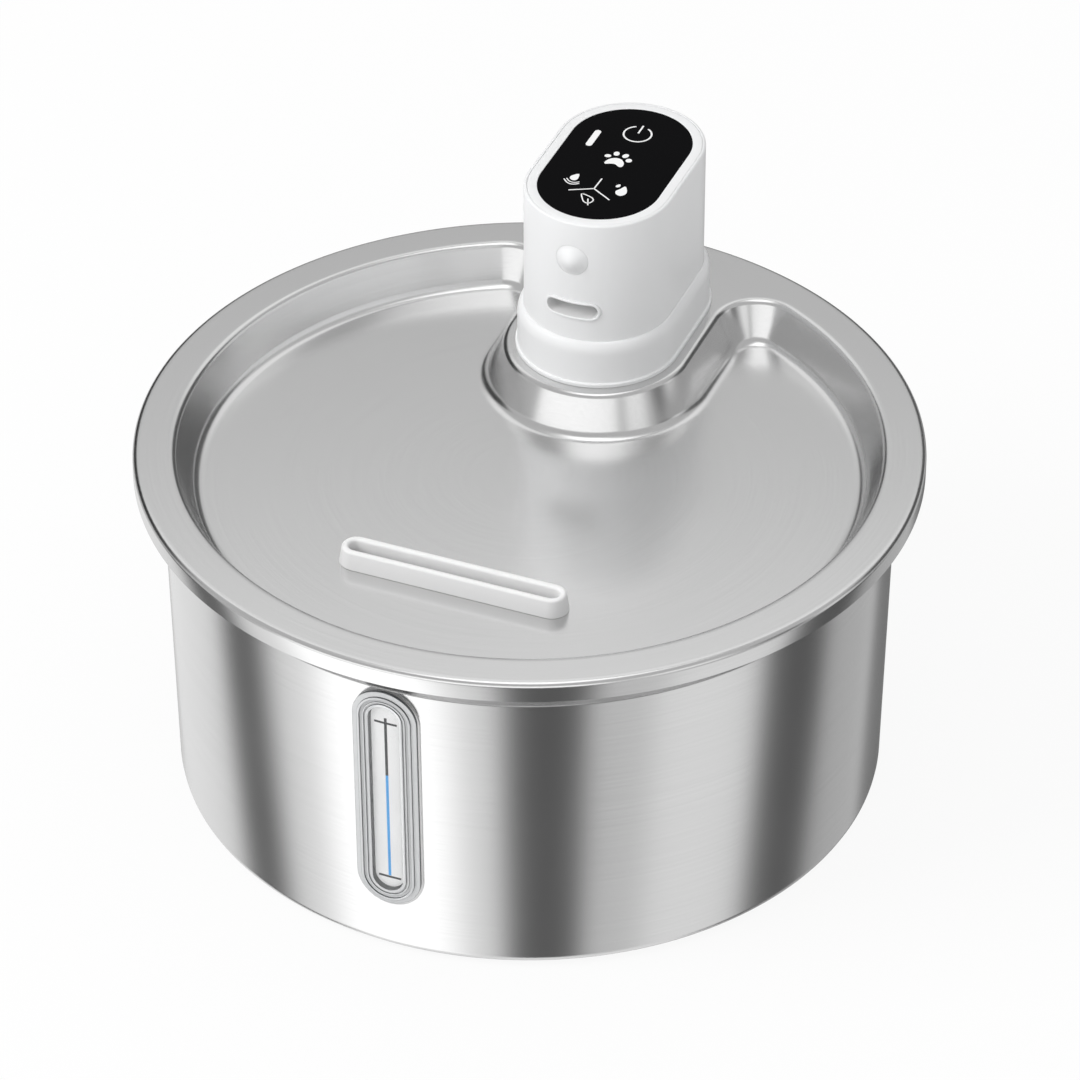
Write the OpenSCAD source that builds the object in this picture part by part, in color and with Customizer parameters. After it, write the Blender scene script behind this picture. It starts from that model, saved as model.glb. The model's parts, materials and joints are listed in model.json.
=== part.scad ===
// Pet water fountain: a steel bowl with a level window, a pressed steel tray lid, and a battery pump unit
// that hangs through the lid. Millimetres, +Z up, front at -Y, origin on the floor at the bowl's axis.

/* [Bowl] */
// Outer radius of the bowl's body at the foot of its flare
body_r = 102.6; // [99:0.1:106]
// How much narrower the body is at its base
body_draft = 1.6; // [0.4:0.1:3]
// Height of the body from its base to the foot of the flare
body_h = 92; // [89:0.5:98]
// Height of the flare, from its foot to the top of the lip
flare_h = 12.8; // [11:0.1:15]
// How far the flare widens the bowl
flare_out = 6.9; // [5:0.1:8]
// Thickness of the bowl's steel
bowl_t = 0.8; // [0.6:0.1:1.2]
// Radius of the rounded edge round the base
base_round = 3; // [2:0.5:5]
// Radius of the raised disc in the middle of the base
push_r = 30; // [20:1:36]
// Height of that raised disc
push_h = 1; // [0.6:0.1:1.4]
// Width of the folded hem along the lip
hem_w = 1.8; // [1.4:0.1:2.4]
// Thickness of that hem
hem_h = 1.2; // [1:0.1:1.6]
// Radius of the hem's outer top edge
hem_edge = 0.5; // [0.5:0.1:0.8]
// Roll that marks the foot of the flare
crease = 0.5; // [0.3:0.1:0.8]

/* [Feet] */
// Radius of one foot pad
pad_r = 7; // [5:0.5:9]
// Thickness of a foot pad
pad_h = 1; // [0.8:0.1:2]
// Radius of the circle that the pads lie on
pad_ring_r = 82; // [60:1:86]
// Number of foot pads
pad_count = 4; // [3:1:6]

/* [Level window] */
// Width of the window's outer flange
window_w = 20.4; // [19:0.1:22]
// Distance of the window's lower end from the bowl's base
window_foot = 16.1; // [15.7:0.1:22]
// Gap between the window and the foot of the flare
window_drop = 0.5; // [0.3:0.1:1]
// Width of the clear panel in the middle
panel_w = 9; // [8:0.1:10]
// Width of the lens's wall round that panel
lens_wall = 3; // [2.6:0.1:3.2]
// Thickness of the flange
lens_flange_t = 0.9; // [0.7:0.1:1.3]
// Height of each raised ring on the flange
lens_step = 0.6; // [0.4:0.1:1]
// Width of the flange's bare edge outside the rings
lens_edge = 1.5; // [1:0.1:1.8]
// Width of the groove between the rings
lens_groove = 0.8; // [0.6:0.1:1]
// How far the lens reaches into the bowl
lens_reach = 3; // [2.4:0.1:4]
// Thickness of the seal under the flange
gasket_t = 0.6; // [0.4:0.1:1]
// Thickness of the clamp frame's lip
clamp_t = 1.2; // [1:0.1:1.6]
// Radius of a window screw's shank
window_screw_r = 0.8; // [0.6:0.1:1]
// Thickness of the pale scale plate behind the panel
scale_t = 0.5; // [0.4:0.1:0.8]

/* [Tray lid] */
// Thickness of the tray's steel
lid_t = 0.8; // [0.5:0.1:1]
// Clearance between the lid's turned edge and the bowl's lip
lid_gap = 0.3; // [0.2:0.05:0.6]
// Width of the flat rim
rim_w = 11.8; // [10:0.1:12.4]
// Depth of the well below the rim
well_depth = 12; // [10:0.1:13]
// How far the well's wall leans in over its depth
well_run = 5; // [3:0.1:5.5]
// Radius of the rounded top edge of the wall
rim_round = 2; // [1.4:0.1:2.5]
// Radius of the fillet at the foot of the wall
well_round = 3.5; // [2:0.1:4]
// Depth of the lid's turned-down edge
edge_drop = 3; // [2.4:0.1:4]
// Radius of that edge
edge_round = 1.5; // [1.2:0.1:2]
// Radius of the well's inner corners beside the boss, at the rim
corner_round = 10.4; // [9.6:0.1:11.2]

/* [Drain collar] */
// Length of the drain slot
slot_len = 62; // [48:0.5:66]
// Width of the drain slot
slot_w = 4.4; // [4.2:0.1:6]
// Distance of the slot from the bowl's side
slot_set_in = 47.7; // [43:0.1:54]
// Height of the collar above the tray
collar_h = 5.5; // [4:0.1:7]
// Wall of the collar at its top
collar_t = 1.9; // [1.6:0.1:2.4]
// How much wider the collar is at its foot
collar_spread = 0.8; // [0.4:0.1:1.2]
// Wall of the collar where it passes through the tray
neck_t = 1.5; // [1.2:0.1:1.6]
// Thickness of the lip under the tray
collar_lip_t = 1.2; // [1:0.1:1.6]

/* [Pump unit head] */
// Distance of the unit's middle from the bowl's rear side
head_set_in = 38.3; // [37.8:0.1:39.6]
// Radius of the head's rounded ends
head_r = 21.4; // [21:0.1:22]
// Length of the head's straight sides
head_straight = 23.6; // [22:0.1:24.5]
// Height of the head above the lid
head_h = 53; // [50:0.1:60]
// Wall of the head's shell
shell_t = 2; // [1.6:0.1:2.2]
// Radius of the shell's top edge
shell_round = 0.6; // [0.3:0.1:0.9]
// Width of the shell's rim outside the bezel
rim_line_w = 0.95; // [0.7:0.05:1.2]
// Width of the bezel round the touch panel
bezel_w = 2.8; // [2.2:0.1:3.2]
// Thickness of the touch panel
panel_t = 2; // [1.6:0.1:2.6]
// Thickness of the ledge that carries the panel
ledge_t = 1.5; // [1.2:0.1:2]
// Width of that ledge inside the bezel
ledge_w = 1.8; // [1.2:0.1:2.4]
// Wall of the skirt round the head's foot
skirt_t = 1.8; // [1.4:0.1:2.4]
// Height of the skirt's upright wall
skirt_h = 10.2; // [8:0.1:12]
// Height of the rounded shoulder above it
shoulder_h = 4.1; // [3:0.1:5]
// Thickness of the skirt's foot
skirt_foot_t = 1.2; // [1:0.1:1.6]
// How far the skirt's foot stands out
skirt_lip = 0.6; // [0.3:0.1:0.8]

/* [Outlet and sensor] */
// Height of the outlet slot above the lid
outlet_rise = 24.3; // [24:0.1:28]
// Width of the outlet slot
outlet_w = 15.2; // [12:0.1:18]
// Height of the outlet slot
outlet_h = 4.4; // [4.2:0.1:5]
// Wall of the outlet nozzle
outlet_wall = 0.8; // [0.7:0.1:1.1]
// How far the nozzle's rim stands out
outlet_proud = 0.5; // [0.3:0.1:0.8]
// Height of the motion sensor above the lid
sensor_rise = 40.8; // [40:0.1:42]
// Radius of the sensor's window
sensor_r = 4.75; // [4.4:0.05:5.2]
// How far the sensor's dome stands out
dome_proud = 2; // [1.2:0.1:3]
// Radius of the sensor's can
can_r = 4.5; // [4:0.1:4.7]
// Length of that can
can_l = 4.2; // [3.6:0.1:4.6]

/* [Column and battery] */
// Gap between the hanging column and the lid's opening
column_gap = 0.5; // [0.3:0.1:0.8]
// Wall of the column
column_t = 1.8; // [1.5:0.1:1.9]
// Height of the column's top deck above the lid
deck_rise = 18; // [17:0.1:18.5]
// Thickness of the deck
deck_t = 2; // [1.6:0.1:2.4]
// Thickness of the seal under the deck
deck_seal_t = 0.6; // [0.4:0.1:0.8]
// Radius of a battery cell
cell_r = 9.2; // [8:0.1:9.3]
// Headroom between the battery cells and the column's deck
cell_headroom = 8.95; // [8.5:0.05:14]
// Thickness of the cell holder's plates
holder_t = 2; // [1.5:0.1:2.5]
// Thickness of the cell holder's side walls
holder_wall = 1.4; // [1:0.1:1.6]
// Thickness of the circuit boards
board_t = 1.6; // [1.2:0.1:1.8]
// Height of the posts under the main board
post_h = 2.4; // [2:0.1:3]
// Radius of a deck screw's shank
deck_screw_r = 1.3; // [1:0.1:1.4]
// Width of the charging port
port_w = 9; // [8.6:0.1:9.4]
// Height of the charging port
port_h = 3.2; // [2.8:0.1:3.4]
// Length of the charging port
port_l = 7.3; // [6.5:0.1:8]
// Thickness of the port's cover
cover_t = 1.2; // [1:0.1:1.3]

/* [Pump and filter] */
// Gap between the pump case and the bowl's floor
case_gap = 2.7; // [2:0.1:5]
// Thickness of the pump case's floor
case_floor_t = 1.5; // [1.2:0.1:2]
// Thickness of the filter drawer's floor
drawer_t = 1.2; // [1:0.1:1.5]
// Thickness of the foam pad
foam_t = 3.2; // [2.5:0.1:4]
// Height of the filter cartridge
cartridge_h = 8.6; // [7:0.1:9.5]
// Thickness of the pump plate
plate_t = 1.4; // [1.2:0.1:2]
// Height of the impeller's chamber
chamber_h = 9; // [8.4:0.1:10]
// Radius of the impeller
impeller_r = 11.2; // [10:0.1:11.6]
// Height of the impeller's blades
blade_h = 3.8; // [3:0.1:4.2]
// Number of impeller blades
blade_count = 6; // [4:1:8]
// Radius of the impeller's shaft
shaft_r = 1; // [0.8:0.05:1.2]
// Height of the magnets
magnet_h = 3; // [2.4:0.1:3.2]
// Radius of the motor's can
motor_r = 12; // [11:0.1:12.5]
// Height of the motor's can
motor_h = 10; // [9:0.1:11]
// Outer radius of the riser tube
riser_r = 3.8; // [3.6:0.1:3.9]
// Wall of the riser tube
riser_t = 0.9; // [0.7:0.1:1]
// Width of one intake slit
slit_w = 1.6; // [1.2:0.1:2]
// Number of intake slits at each end of the pump case
slit_count = 9; // [5:1:11]

/* [Hidden] */
$fn = 96;

// Clearances and overruns shared by the fits
seat_gap = 0.05;
slide_gap = 0.1;
loose_gap = 0.3;
press_gap = 0.02;
overrun = 1;
grid = 0.001;
arc_steps = 4;
fine_steps = 8;
quarter = 90;
half_turn = 180;

// Bowl
base_z = pad_h;
flare_z = base_z + body_h;
lip_z = flare_z + flare_h;
base_r = body_r - body_draft;
lip_r = body_r + flare_out;
straight_z = base_z + base_round;
window_h = body_h - window_drop - window_foot;
floor_z = base_z + bowl_t;

// Tray lid
lid_z = lip_z + lid_t;
lid_r = lip_r + lid_gap + lid_t;
well_r = lid_r - rim_w;
tray_floor_z = lid_z - well_depth;
wall_lean = atan2(well_depth, well_run);
rim_tangent = rim_round * tan(wall_lean / 2);
well_tangent = well_round * tan(wall_lean / 2);
rim_edge = snap(rim_tangent);
foot_end = well_run + well_tangent;
foot_edge = snap(foot_end);

// Pump unit, in plan
head_y = body_r - head_set_in;
half_straight = head_straight / 2;
shell_in_r = head_r - shell_t;
column_r = shell_in_r - slide_gap;
column_in_r = column_r - column_t;
opening_r = column_r + column_gap;
skirt_r = head_r + seat_gap + skirt_t;
skirt_foot_r = skirt_r + skirt_lip;
boss_front_y = head_y - half_straight;
triangle_shares = [36, 77, 85];
corner_unit = snap((well_r - corner_round) / triangle_shares[2]);
corner_x = triangle_shares[0] * corner_unit;
corner_y = triangle_shares[1] * corner_unit;
corner_r = well_r - triangle_shares[2] * corner_unit;
boss_r = corner_x - corner_r;

// Pump unit, levels of the head
head_z = lid_z + head_h;
shell_z = lid_z + skirt_foot_t;
bezel_r = head_r - rim_line_w;
touch_r = bezel_r - bezel_w - seat_gap;
ledge_r = touch_r - ledge_w;
panel_z = head_z - panel_t - slide_gap;
ledge_z = panel_z - ledge_t;
outlet_z = lid_z + outlet_rise;
sensor_z = lid_z + sensor_rise;

// Pump unit, levels of the submerged part, from the bowl's floor up
case_z = floor_z + case_gap;
bay_z = case_z + case_floor_t;
drawer_z = bay_z + seat_gap;
foam_z = drawer_z + drawer_t;
cartridge_z = foam_z + foam_t;
plate_ledge_z = cartridge_z + cartridge_h + loose_gap;
plate_ledge_t = 1;
plate_z = plate_ledge_z + plate_ledge_t;
chamber_z = plate_z + plate_t;
wall_z = chamber_z + chamber_h;
wall_t = 1.2;
motor_bay_z = wall_z + wall_t;
drive_z = motor_bay_z + 2 * loose_gap;
motor_z = drive_z + magnet_h + loose_gap;
holder_z = motor_z + motor_h + slide_gap;
cell_z = holder_z + holder_t + slide_gap;
deck_z = lid_z + deck_rise;
column_top_z = deck_z - deck_t - deck_seal_t;
cell_top_z = column_top_z - cell_headroom;
holder_top_z = cell_top_z + slide_gap;
board_z = deck_z + post_h;
port_z = board_z + board_t + port_h / 2;

// Riser and battery, places from the head's centre towards the front
socket_t = 0.9;
socket_r = riser_r + seat_gap + socket_t;
riser_y = head_y - half_straight - column_in_r + socket_r + slide_gap;
nozzle_back = 2.4;
nozzle_y = riser_y + riser_r + nozzle_back;
cell_space = 1.2;
cell_front_y = riser_y + socket_r + cell_space + cell_r;
cell_rear_y = cell_front_y + 2 * cell_r + cell_space;

// Points of an arc, on a fine grid so that neighbouring sweeps of one profile meet exactly
function snap(v) = grid * round(v / grid);
function on_circle(c, r, a) = [snap(c[0] + r * cos(a)), snap(c[1] + r * sin(a))];
function arc(c, r, from, to, steps = arc_steps) =
    [for (i = [0:steps]) on_circle(c, r, from + (to - from) * i / steps)];

// Profile of the tray's wall: distance into the well, height from the rim, at depth t under the top face
function tray_path(t) = concat(
    arc([-rim_tangent, -rim_round], rim_round - t, quarter, quarter - wall_lean),
    arc([foot_end, well_round - well_depth], well_round + t, 3 * quarter - wall_lean, 3 * quarter)
);
function backwards(list) = [for (i = [len(list) - 1:-1:0]) list[i]];
tray_profile = concat(tray_path(0), backwards(tray_path(lid_t)));

// Outer radius of the bowl's body at a height
function wall_r(z) = body_r - body_draft * (flare_z - z) / (flare_z - straight_z);

// A stadium in plan, with its straight sides along Y
module racetrack2d(r, straight) {
    square([2 * r, straight], center = true);
    for (end = [-1, 1])
        translate([0, end * straight / 2]) circle(r = r);
}

module racetrack(r, straight, z0, z1) {
    translate([0, 0, z0]) linear_extrude(height = z1 - z0) racetrack2d(r, straight);
}

// Carries a profile of radius and height round a stadium
module racetrack_sweep(straight) {
    for (side = [0, half_turn])
        rotate([0, 0, side]) translate([0, straight / 2, 0]) {
            rotate_extrude(angle = half_turn) children();
            rotate([quarter, 0, 0]) linear_extrude(height = straight) children();
        }
}

// A stadium standing in the XZ plane, run along Y from y0 to y1
module upright_pill(w, h, y0, y1) {
    translate([0, y1, 0]) rotate([quarter, 0, 0]) linear_extrude(height = y1 - y0)
        racetrack2d(w / 2, h - w);
}

module level_pill(w, h, y0, y1) {
    translate([0, y1, 0]) rotate([quarter, 0, 0]) linear_extrude(height = y1 - y0)
        rotate(quarter) racetrack2d(h / 2, w - h);
}

module at_head() {
    translate([0, head_y, 0]) children();
}

module at_riser() {
    translate([0, riser_y - head_y, 0]) children();
}

module post(r, z0, z1) {
    translate([0, 0, z0]) cylinder(r = r, h = z1 - z0);
}

module ring(r_out, r_in, z0, z1) {
    difference() {
        post(r_out, z0, z1);
        post(r_in, z0 - overrun, z1 + overrun);
    }
}

// Bowl group
pad_chamfer = 0.3;
push_slope = 2;
window_z = flare_z - window_drop - window_h / 2;
lens_w = panel_w + 2 * lens_wall;
lens_h = window_h - window_w + lens_w;
panel_h = window_h - window_w + panel_w;
lens_face = gasket_t + seat_gap + lens_flange_t;
panel_back = gasket_t / 2;
lens_end = -bowl_t - lens_reach;
front_sector = 40;

module bowl() {
    outside = concat(
        [[0, base_z + push_h], [push_r, base_z + push_h], [push_r + push_slope, base_z]],
        arc([base_r - base_round, straight_z], base_round, -quarter, 0),
        [[body_r, flare_z], [body_r + crease, flare_z + crease / 2], [lip_r, lip_z - hem_h]],
        arc([lip_r - hem_edge, lip_z - hem_edge], hem_edge, 0, quarter)
    );
    inside = concat(
        [[lip_r - hem_w, lip_z], [lip_r - hem_w, lip_z - hem_h]],
        [[body_r - bowl_t + crease, flare_z + hem_h], [body_r - bowl_t, flare_z]],
        arc([base_r - base_round, straight_z], base_round - bowl_t, 0, -quarter),
        [[push_r + push_slope, floor_z], [push_r, floor_z + push_h], [0, floor_z + push_h]]
    );
    color("#c6c8ca") difference() {
        rotate_extrude() polygon(concat(outside, inside));
        translate([0, 0, window_z])
            upright_pill(lens_w + 2 * loose_gap, lens_h + 2 * loose_gap, -lip_r, 0);
    }
}

module foot_pads() {
    color("#d9dadb") for (i = [0:pad_count - 1])
        rotate([0, 0, (i + 1 / 2) * 2 * half_turn / pad_count]) translate([pad_ring_r, 0, 0])
            rotate_extrude() polygon([
                [0, 0], [pad_r - pad_chamfer, 0], [pad_r, pad_chamfer], [pad_r, pad_h], [0, pad_h]
            ]);
}

// A slice of the bowl's wall at the front, between two distances from its outer face
module wall_band(near, far) {
    rotate([0, 0, -quarter - front_sector / 2]) rotate_extrude(angle = front_sector) polygon([
        [wall_r(straight_z) + near, straight_z], [wall_r(flare_z) + near, flare_z],
        [wall_r(flare_z) + far, flare_z], [wall_r(straight_z) + far, straight_z]
    ]);
}

// A stadium on the bowl's wall, as wide as w, between two distances from the wall's outer face
module wall_pill(w, near, far) {
    intersection() {
        wall_band(near, far);
        translate([0, 0, window_z])
            upright_pill(w, window_h - window_w + w, -lip_r - lens_reach, -base_r / 2);
    }
}

module wall_ring(w_out, w_in, near, far) {
    difference() {
        wall_pill(w_out, near, far);
        translate([0, 0, window_z]) upright_pill(w_in, window_h - window_w + w_in, -lip_r - lens_reach, 0);
    }
}

module at_window_screws() {
    side_x = (panel_w + lens_wall) / 2;
    end_z = (panel_h + lens_wall) / 2;
    ends = [[0, -end_z], [0, end_z]];
    sides = [for (x = [-side_x, side_x]) for (z = [-side_x, side_x]) [x, z]];
    for (p = concat(ends, sides))
        translate([p[0], 0, window_z + p[1]]) rotate([quarter, 0, 0]) children();
}

window_screw_l = 4;
window_head_r = 1.4;
window_head_t = 0.9;
clamp_face = -lens_end + slide_gap + clamp_t;

module window_lens() {
    ridge_w = window_w - 2 * lens_edge;
    inner_ridge_w = ridge_w - 4 * lens_groove;
    color([0.86, 0.92, 0.95, 0.5]) difference() {
        union() {
            wall_pill(window_w, gasket_t + seat_gap, lens_face);
            wall_ring(ridge_w, ridge_w - 2 * lens_groove, lens_face - seat_gap, lens_face + lens_step);
            wall_ring(inner_ridge_w, panel_w, lens_face - seat_gap, lens_face + lens_step / 2);
            wall_pill(lens_w, lens_end, gasket_t + 2 * seat_gap);
        }
        translate([0, 0, window_z]) intersection() {
            upright_pill(panel_w, panel_h, -lip_r, 0);
            translate([0, 0, -window_z]) wall_band(lens_end - overrun, panel_back);
        }
        at_window_screws() translate([0, 0, base_r - bowl_t - lens_reach - overrun])
            cylinder(r = window_screw_r + press_gap, h = window_screw_l);
    }
}

module window_gasket() {
    color("#e9eaeb") wall_ring(window_w - lens_groove, lens_w + 2 * loose_gap, seat_gap, gasket_t);
}

module window_clamp() {
    frame_w = window_w - lens_groove;
    color("#e4e6e8") difference() {
        union() {
            wall_ring(frame_w, lens_w + 2 * slide_gap, -clamp_face, -bowl_t - seat_gap);
            wall_ring(frame_w, panel_w, -clamp_face, lens_end - slide_gap);
        }
        at_window_screws() translate([0, 0, base_r / 2])
            cylinder(r = window_screw_r + slide_gap, h = base_r);
    }
}

module window_screws() {
    color("#a9adb1") at_window_screws() {
        seat = wall_r(window_z) - clamp_face - slide_gap - body_draft / 2;
        translate([0, 0, seat - window_head_t]) cylinder(r = window_head_r, h = window_head_t);
        translate([0, 0, seat - slide_gap]) cylinder(r = window_screw_r, h = window_screw_l - body_draft);
    }
}

module level_scale() {
    front = panel_back - seat_gap;
    color("#f3f4f5") wall_pill(panel_w - 2 * slide_gap, front - scale_t, front);
}

// Tray lid group: one wall profile is carried round the well and the boss in tangent arcs and lines
module tray_wall(r, way) {
    polygon([for (p = tray_profile) [r + way * p[0], lid_z + p[1]]]);
}

module corner2d() {
    polygon([[0, corner_y], [corner_x, corner_y], 2 * [corner_x, corner_y], [0, 2 * corner_y]]);
}

module well2d(inset) {
    difference() {
        circle(r = well_r - inset);
        translate([0, boss_front_y]) circle(r = boss_r + inset);
        translate([-boss_r - inset, boss_front_y]) square([2 * (boss_r + inset), well_r]);
        for (side = [0, 1])
            mirror([side, 0]) difference() {
                corner2d();
                translate([corner_x, corner_y]) circle(r = corner_r - inset);
            }
    }
}

module tray_band() {
    translate([0, 0, tray_floor_z - lid_t - overrun])
        linear_extrude(height = well_depth + lid_t + 2 * overrun) children();
}

module tray_walls() {
    difference() {
        rotate_extrude() tray_wall(well_r, -1);
        tray_band() polygon([[0, 0], 2 * [corner_x, corner_y], 2 * [-corner_x, corner_y]]);
    }
    translate([0, boss_front_y, 0]) rotate([0, 0, half_turn]) rotate_extrude(angle = half_turn)
        tray_wall(boss_r, 1);
    for (side = [0, 1])
        mirror([side, 0, 0]) {
            intersection() {
                translate([corner_x, corner_y, 0]) rotate_extrude() tray_wall(corner_r, -1);
                tray_band() corner2d();
            }
            translate([0, corner_y, 0]) rotate([quarter, 0, 0])
                linear_extrude(height = corner_y - boss_front_y) tray_wall(boss_r, 1);
        }
}

module lid_edge() {
    inner = lid_r - edge_round;
    rotate_extrude() polygon(concat(
        arc([inner, lid_z - edge_round], edge_round, quarter, 0),
        [[lid_r, lid_z - edge_drop], [lid_r - lid_t, lid_z - edge_drop]],
        arc([inner, lid_z - edge_round], edge_round - lid_t, 0, quarter)
    ));
}

module at_drain() {
    translate([0, -slot_front, 0]) rotate([0, 0, quarter]) children();
}

slot_front = body_r - slot_set_in;
slot_straight = slot_len - slot_w;
neck_r = slot_w / 2 + neck_t;

module tray_lid() {
    color("#c9cbcc") difference() {
        union() {
            tray_walls();
            lid_edge();
            translate([0, 0, lid_z - lid_t]) linear_extrude(height = lid_t) difference() {
                circle(r = lid_r - edge_round);
                well2d(-rim_edge);
            }
            translate([0, 0, tray_floor_z - lid_t]) linear_extrude(height = lid_t)
                well2d(foot_edge);
        }
        at_head() racetrack(opening_r, head_straight, lid_z - lid_t - overrun, lid_z + overrun);
        at_drain() racetrack(neck_r + seat_gap, slot_straight, tray_floor_z - lid_t - overrun,
            tray_floor_z + overrun);
    }
}

module drain_collar() {
    inside = slot_w / 2;
    top_z = tray_floor_z + collar_h;
    lip_top_z = tray_floor_z - lid_t - slide_gap;
    lip_w = neck_r + neck_t / 2;
    round_r = collar_t / 2;
    crown = arc([inside + round_r, top_z - round_r], round_r, 0, half_turn, fine_steps);
    color("#f2f3f3") at_drain() racetrack_sweep(slot_straight) polygon(concat(
        [[inside, lip_top_z - collar_lip_t], [lip_w, lip_top_z - collar_lip_t], [lip_w, lip_top_z]],
        [[neck_r, lip_top_z], [neck_r, tray_floor_z]],
        [[inside + collar_t + collar_spread, tray_floor_z]],
        crown
    ));
}

// Head of the pump unit
module band_cut(w, h, z, y0, y1) {
    translate([0, 0, z]) level_pill(w, h, y0, y1);
}

rear_y = half_straight + head_r;
cover_rim = 2.2;
cover_w = port_w + 2 * cover_rim;
cover_h = port_h + 2 * cover_rim;
cover_edge = 0.25;
hinge_r = 0.9;
hinge_z = port_z + cover_h / 2;
hinge_y = rear_y - hinge_r;
hinge_l = port_w - 2 * hinge_r;
hinge_slot_w = hinge_l + 2 * overrun;
port_cut_gap = 0.4;

module port_recess() {
    intersection() {
        difference() {
            racetrack(head_r + overrun, head_straight, port_z - cover_h, port_z + cover_h);
            racetrack(head_r - cover_t, head_straight, port_z - 2 * cover_h, port_z + 2 * cover_h);
        }
        union() {
            band_cut(cover_w + 2 * cover_edge, cover_h + 2 * cover_edge, port_z, 0, rear_y + overrun);
            translate([-hinge_slot_w / 2, 0, port_z])
                cube([hinge_slot_w, rear_y + overrun, cover_h / 2 + hinge_r + cover_edge]);
        }
    }
    translate([-hinge_slot_w / 2, hinge_y, hinge_z]) rotate([0, quarter, 0])
        cylinder(r = hinge_r + cover_edge, h = hinge_slot_w);
}

module tower_shell() {
    top_in_r = bezel_r + seat_gap;
    rim_growth = 2 * (outlet_wall + seat_gap);
    port_growth = 2 * port_cut_gap;
    color("#f1f2f3") at_head() difference() {
        racetrack_sweep(head_straight) polygon(concat(
            [[shell_in_r, shell_z], [head_r, shell_z]],
            arc([head_r - shell_round, head_z - shell_round], shell_round, 0, quarter),
            [[top_in_r, head_z], [top_in_r, ledge_z], [shell_in_r, ledge_z]]
        ));
        band_cut(outlet_w + rim_growth, outlet_h + rim_growth, outlet_z, -rear_y - overrun, -half_straight);
        translate([0, -half_straight, sensor_z]) rotate([quarter, 0, 0])
            cylinder(r = sensor_r + seat_gap, h = head_r + overrun);
        band_cut(port_w + port_growth, port_h + port_growth, port_z, half_straight, rear_y + overrun);
        port_recess();
    }
}

module skirt_ring() {
    inner_r = head_r + seat_gap;
    wall_top_z = lid_z + skirt_h;
    color("#eceded") at_head() racetrack_sweep(head_straight) polygon(concat(
        [[column_r + slide_gap, lid_z], [skirt_foot_r, lid_z], [skirt_foot_r, shell_z - skirt_lip / 2]],
        [[skirt_r, shell_z]],
        [for (i = [0:fine_steps]) [
            snap(inner_r + skirt_t * cos(quarter * i / fine_steps)),
            snap(wall_top_z + shoulder_h * sin(quarter * i / fine_steps))
        ]],
        [[inner_r, shell_z], [column_r + slide_gap, shell_z]]
    ));
}

bezel_round = 0.25;

module top_bezel() {
    color("#eff0f1") at_head() racetrack_sweep(head_straight) polygon(concat(
        [[ledge_r, ledge_z], [bezel_r, ledge_z]],
        arc([bezel_r - bezel_round, head_z - bezel_round], bezel_round, 0, quarter),
        [[touch_r + seat_gap, head_z], [touch_r + seat_gap, panel_z], [ledge_r, panel_z]]
    ));
}

module touch_panel() {
    color("#0a0a0c") at_head() racetrack(touch_r, head_straight, panel_z, head_z - slide_gap);
}

touch_chip = 5;
touch_chip_t = 1;

module touch_board() {
    color("#1f6b3c") at_head() {
        racetrack(ledge_r - slide_gap, head_straight, panel_z - board_t, panel_z);
        translate([-touch_chip / 2, -touch_chip / 2, panel_z - board_t - touch_chip_t])
            cube([touch_chip, touch_chip, touch_chip_t]);
    }
}

front_y = -rear_y;
sensor_in_y = front_y + shell_t;
flange_out = 1.2;
flange_t = 1;
lens_seat_y = -half_straight - sqrt(pow(shell_in_r, 2) - pow(sensor_r + flange_out, 2)) + slide_gap;
can_y = lens_seat_y + flange_t + slide_gap;

// Runs a cylinder along Y from y0 to y1 at a height
module along_y(r, y0, y1, z) {
    translate([0, y1, z]) rotate([quarter, 0, 0]) cylinder(r = r, h = y1 - y0);
}

module sensor_lens() {
    dome_r = (pow(sensor_r, 2) + pow(dome_proud, 2)) / (2 * dome_proud);
    centre_y = front_y - dome_proud + dome_r;
    color("#f5f6f7") at_head() {
        intersection() {
            translate([0, centre_y, sensor_z]) sphere(r = dome_r);
            along_y(sensor_r, front_y - dome_proud - overrun, sensor_in_y, sensor_z);
        }
        along_y(sensor_r, sensor_in_y - overrun, lens_seat_y + flange_t, sensor_z);
        along_y(sensor_r + flange_out, lens_seat_y, lens_seat_y + flange_t, sensor_z);
    }
}

can_rim = 0.5;
sensor_board_w = 15;
sensor_board_h = 13;

module motion_sensor() {
    color("#b9bcc0") at_head() {
        along_y(can_r, can_y, can_y + can_l, sensor_z);
        along_y(can_r + can_rim, can_y + can_l - can_rim, can_y + can_l, sensor_z);
    }
}

module sensor_board() {
    color("#1f6b3c") at_head()
        translate([-sensor_board_w / 2, can_y + can_l, sensor_z - sensor_board_h / 2])
            cube([sensor_board_w, board_t, sensor_board_h]);
}

// Water way: the nozzle in the shell's front, and the riser that feeds it
seal_r = socket_t / 2;
nozzle_half = outlet_h / 2 + outlet_wall;
socket_z = deck_z + 2 * (seal_r + seat_gap);
riser_top_z = outlet_z - nozzle_half + outlet_wall / 2;

module outlet_nozzle() {
    nozzle_w = outlet_w + 2 * outlet_wall;
    nozzle_h = outlet_h + 2 * outlet_wall;
    back = nozzle_y - head_y;
    color("#f4f5f5") at_head() difference() {
        union() {
            intersection() {
                band_cut(nozzle_w, nozzle_h, outlet_z, front_y - overrun, back);
                racetrack(head_r + outlet_proud, head_straight, outlet_z - nozzle_h, outlet_z + nozzle_h);
            }
            at_riser() post(socket_r, socket_z, outlet_z - outlet_h / 2);
        }
        band_cut(outlet_w, outlet_h, outlet_z, front_y - 2 * overrun, back - outlet_wall);
        at_riser() {
            post(riser_r - riser_t, socket_z - overrun, outlet_z);
            post(riser_r + seat_gap, socket_z - overrun, riser_top_z + slide_gap);
        }
    }
}

volute_socket = 4;

module riser_tube() {
    color([0.9, 0.93, 0.95, 0.8]) translate([0, riser_y, 0])
        ring(riser_r, riser_r - riser_t, wall_z - volute_socket, riser_top_z);
}

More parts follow.
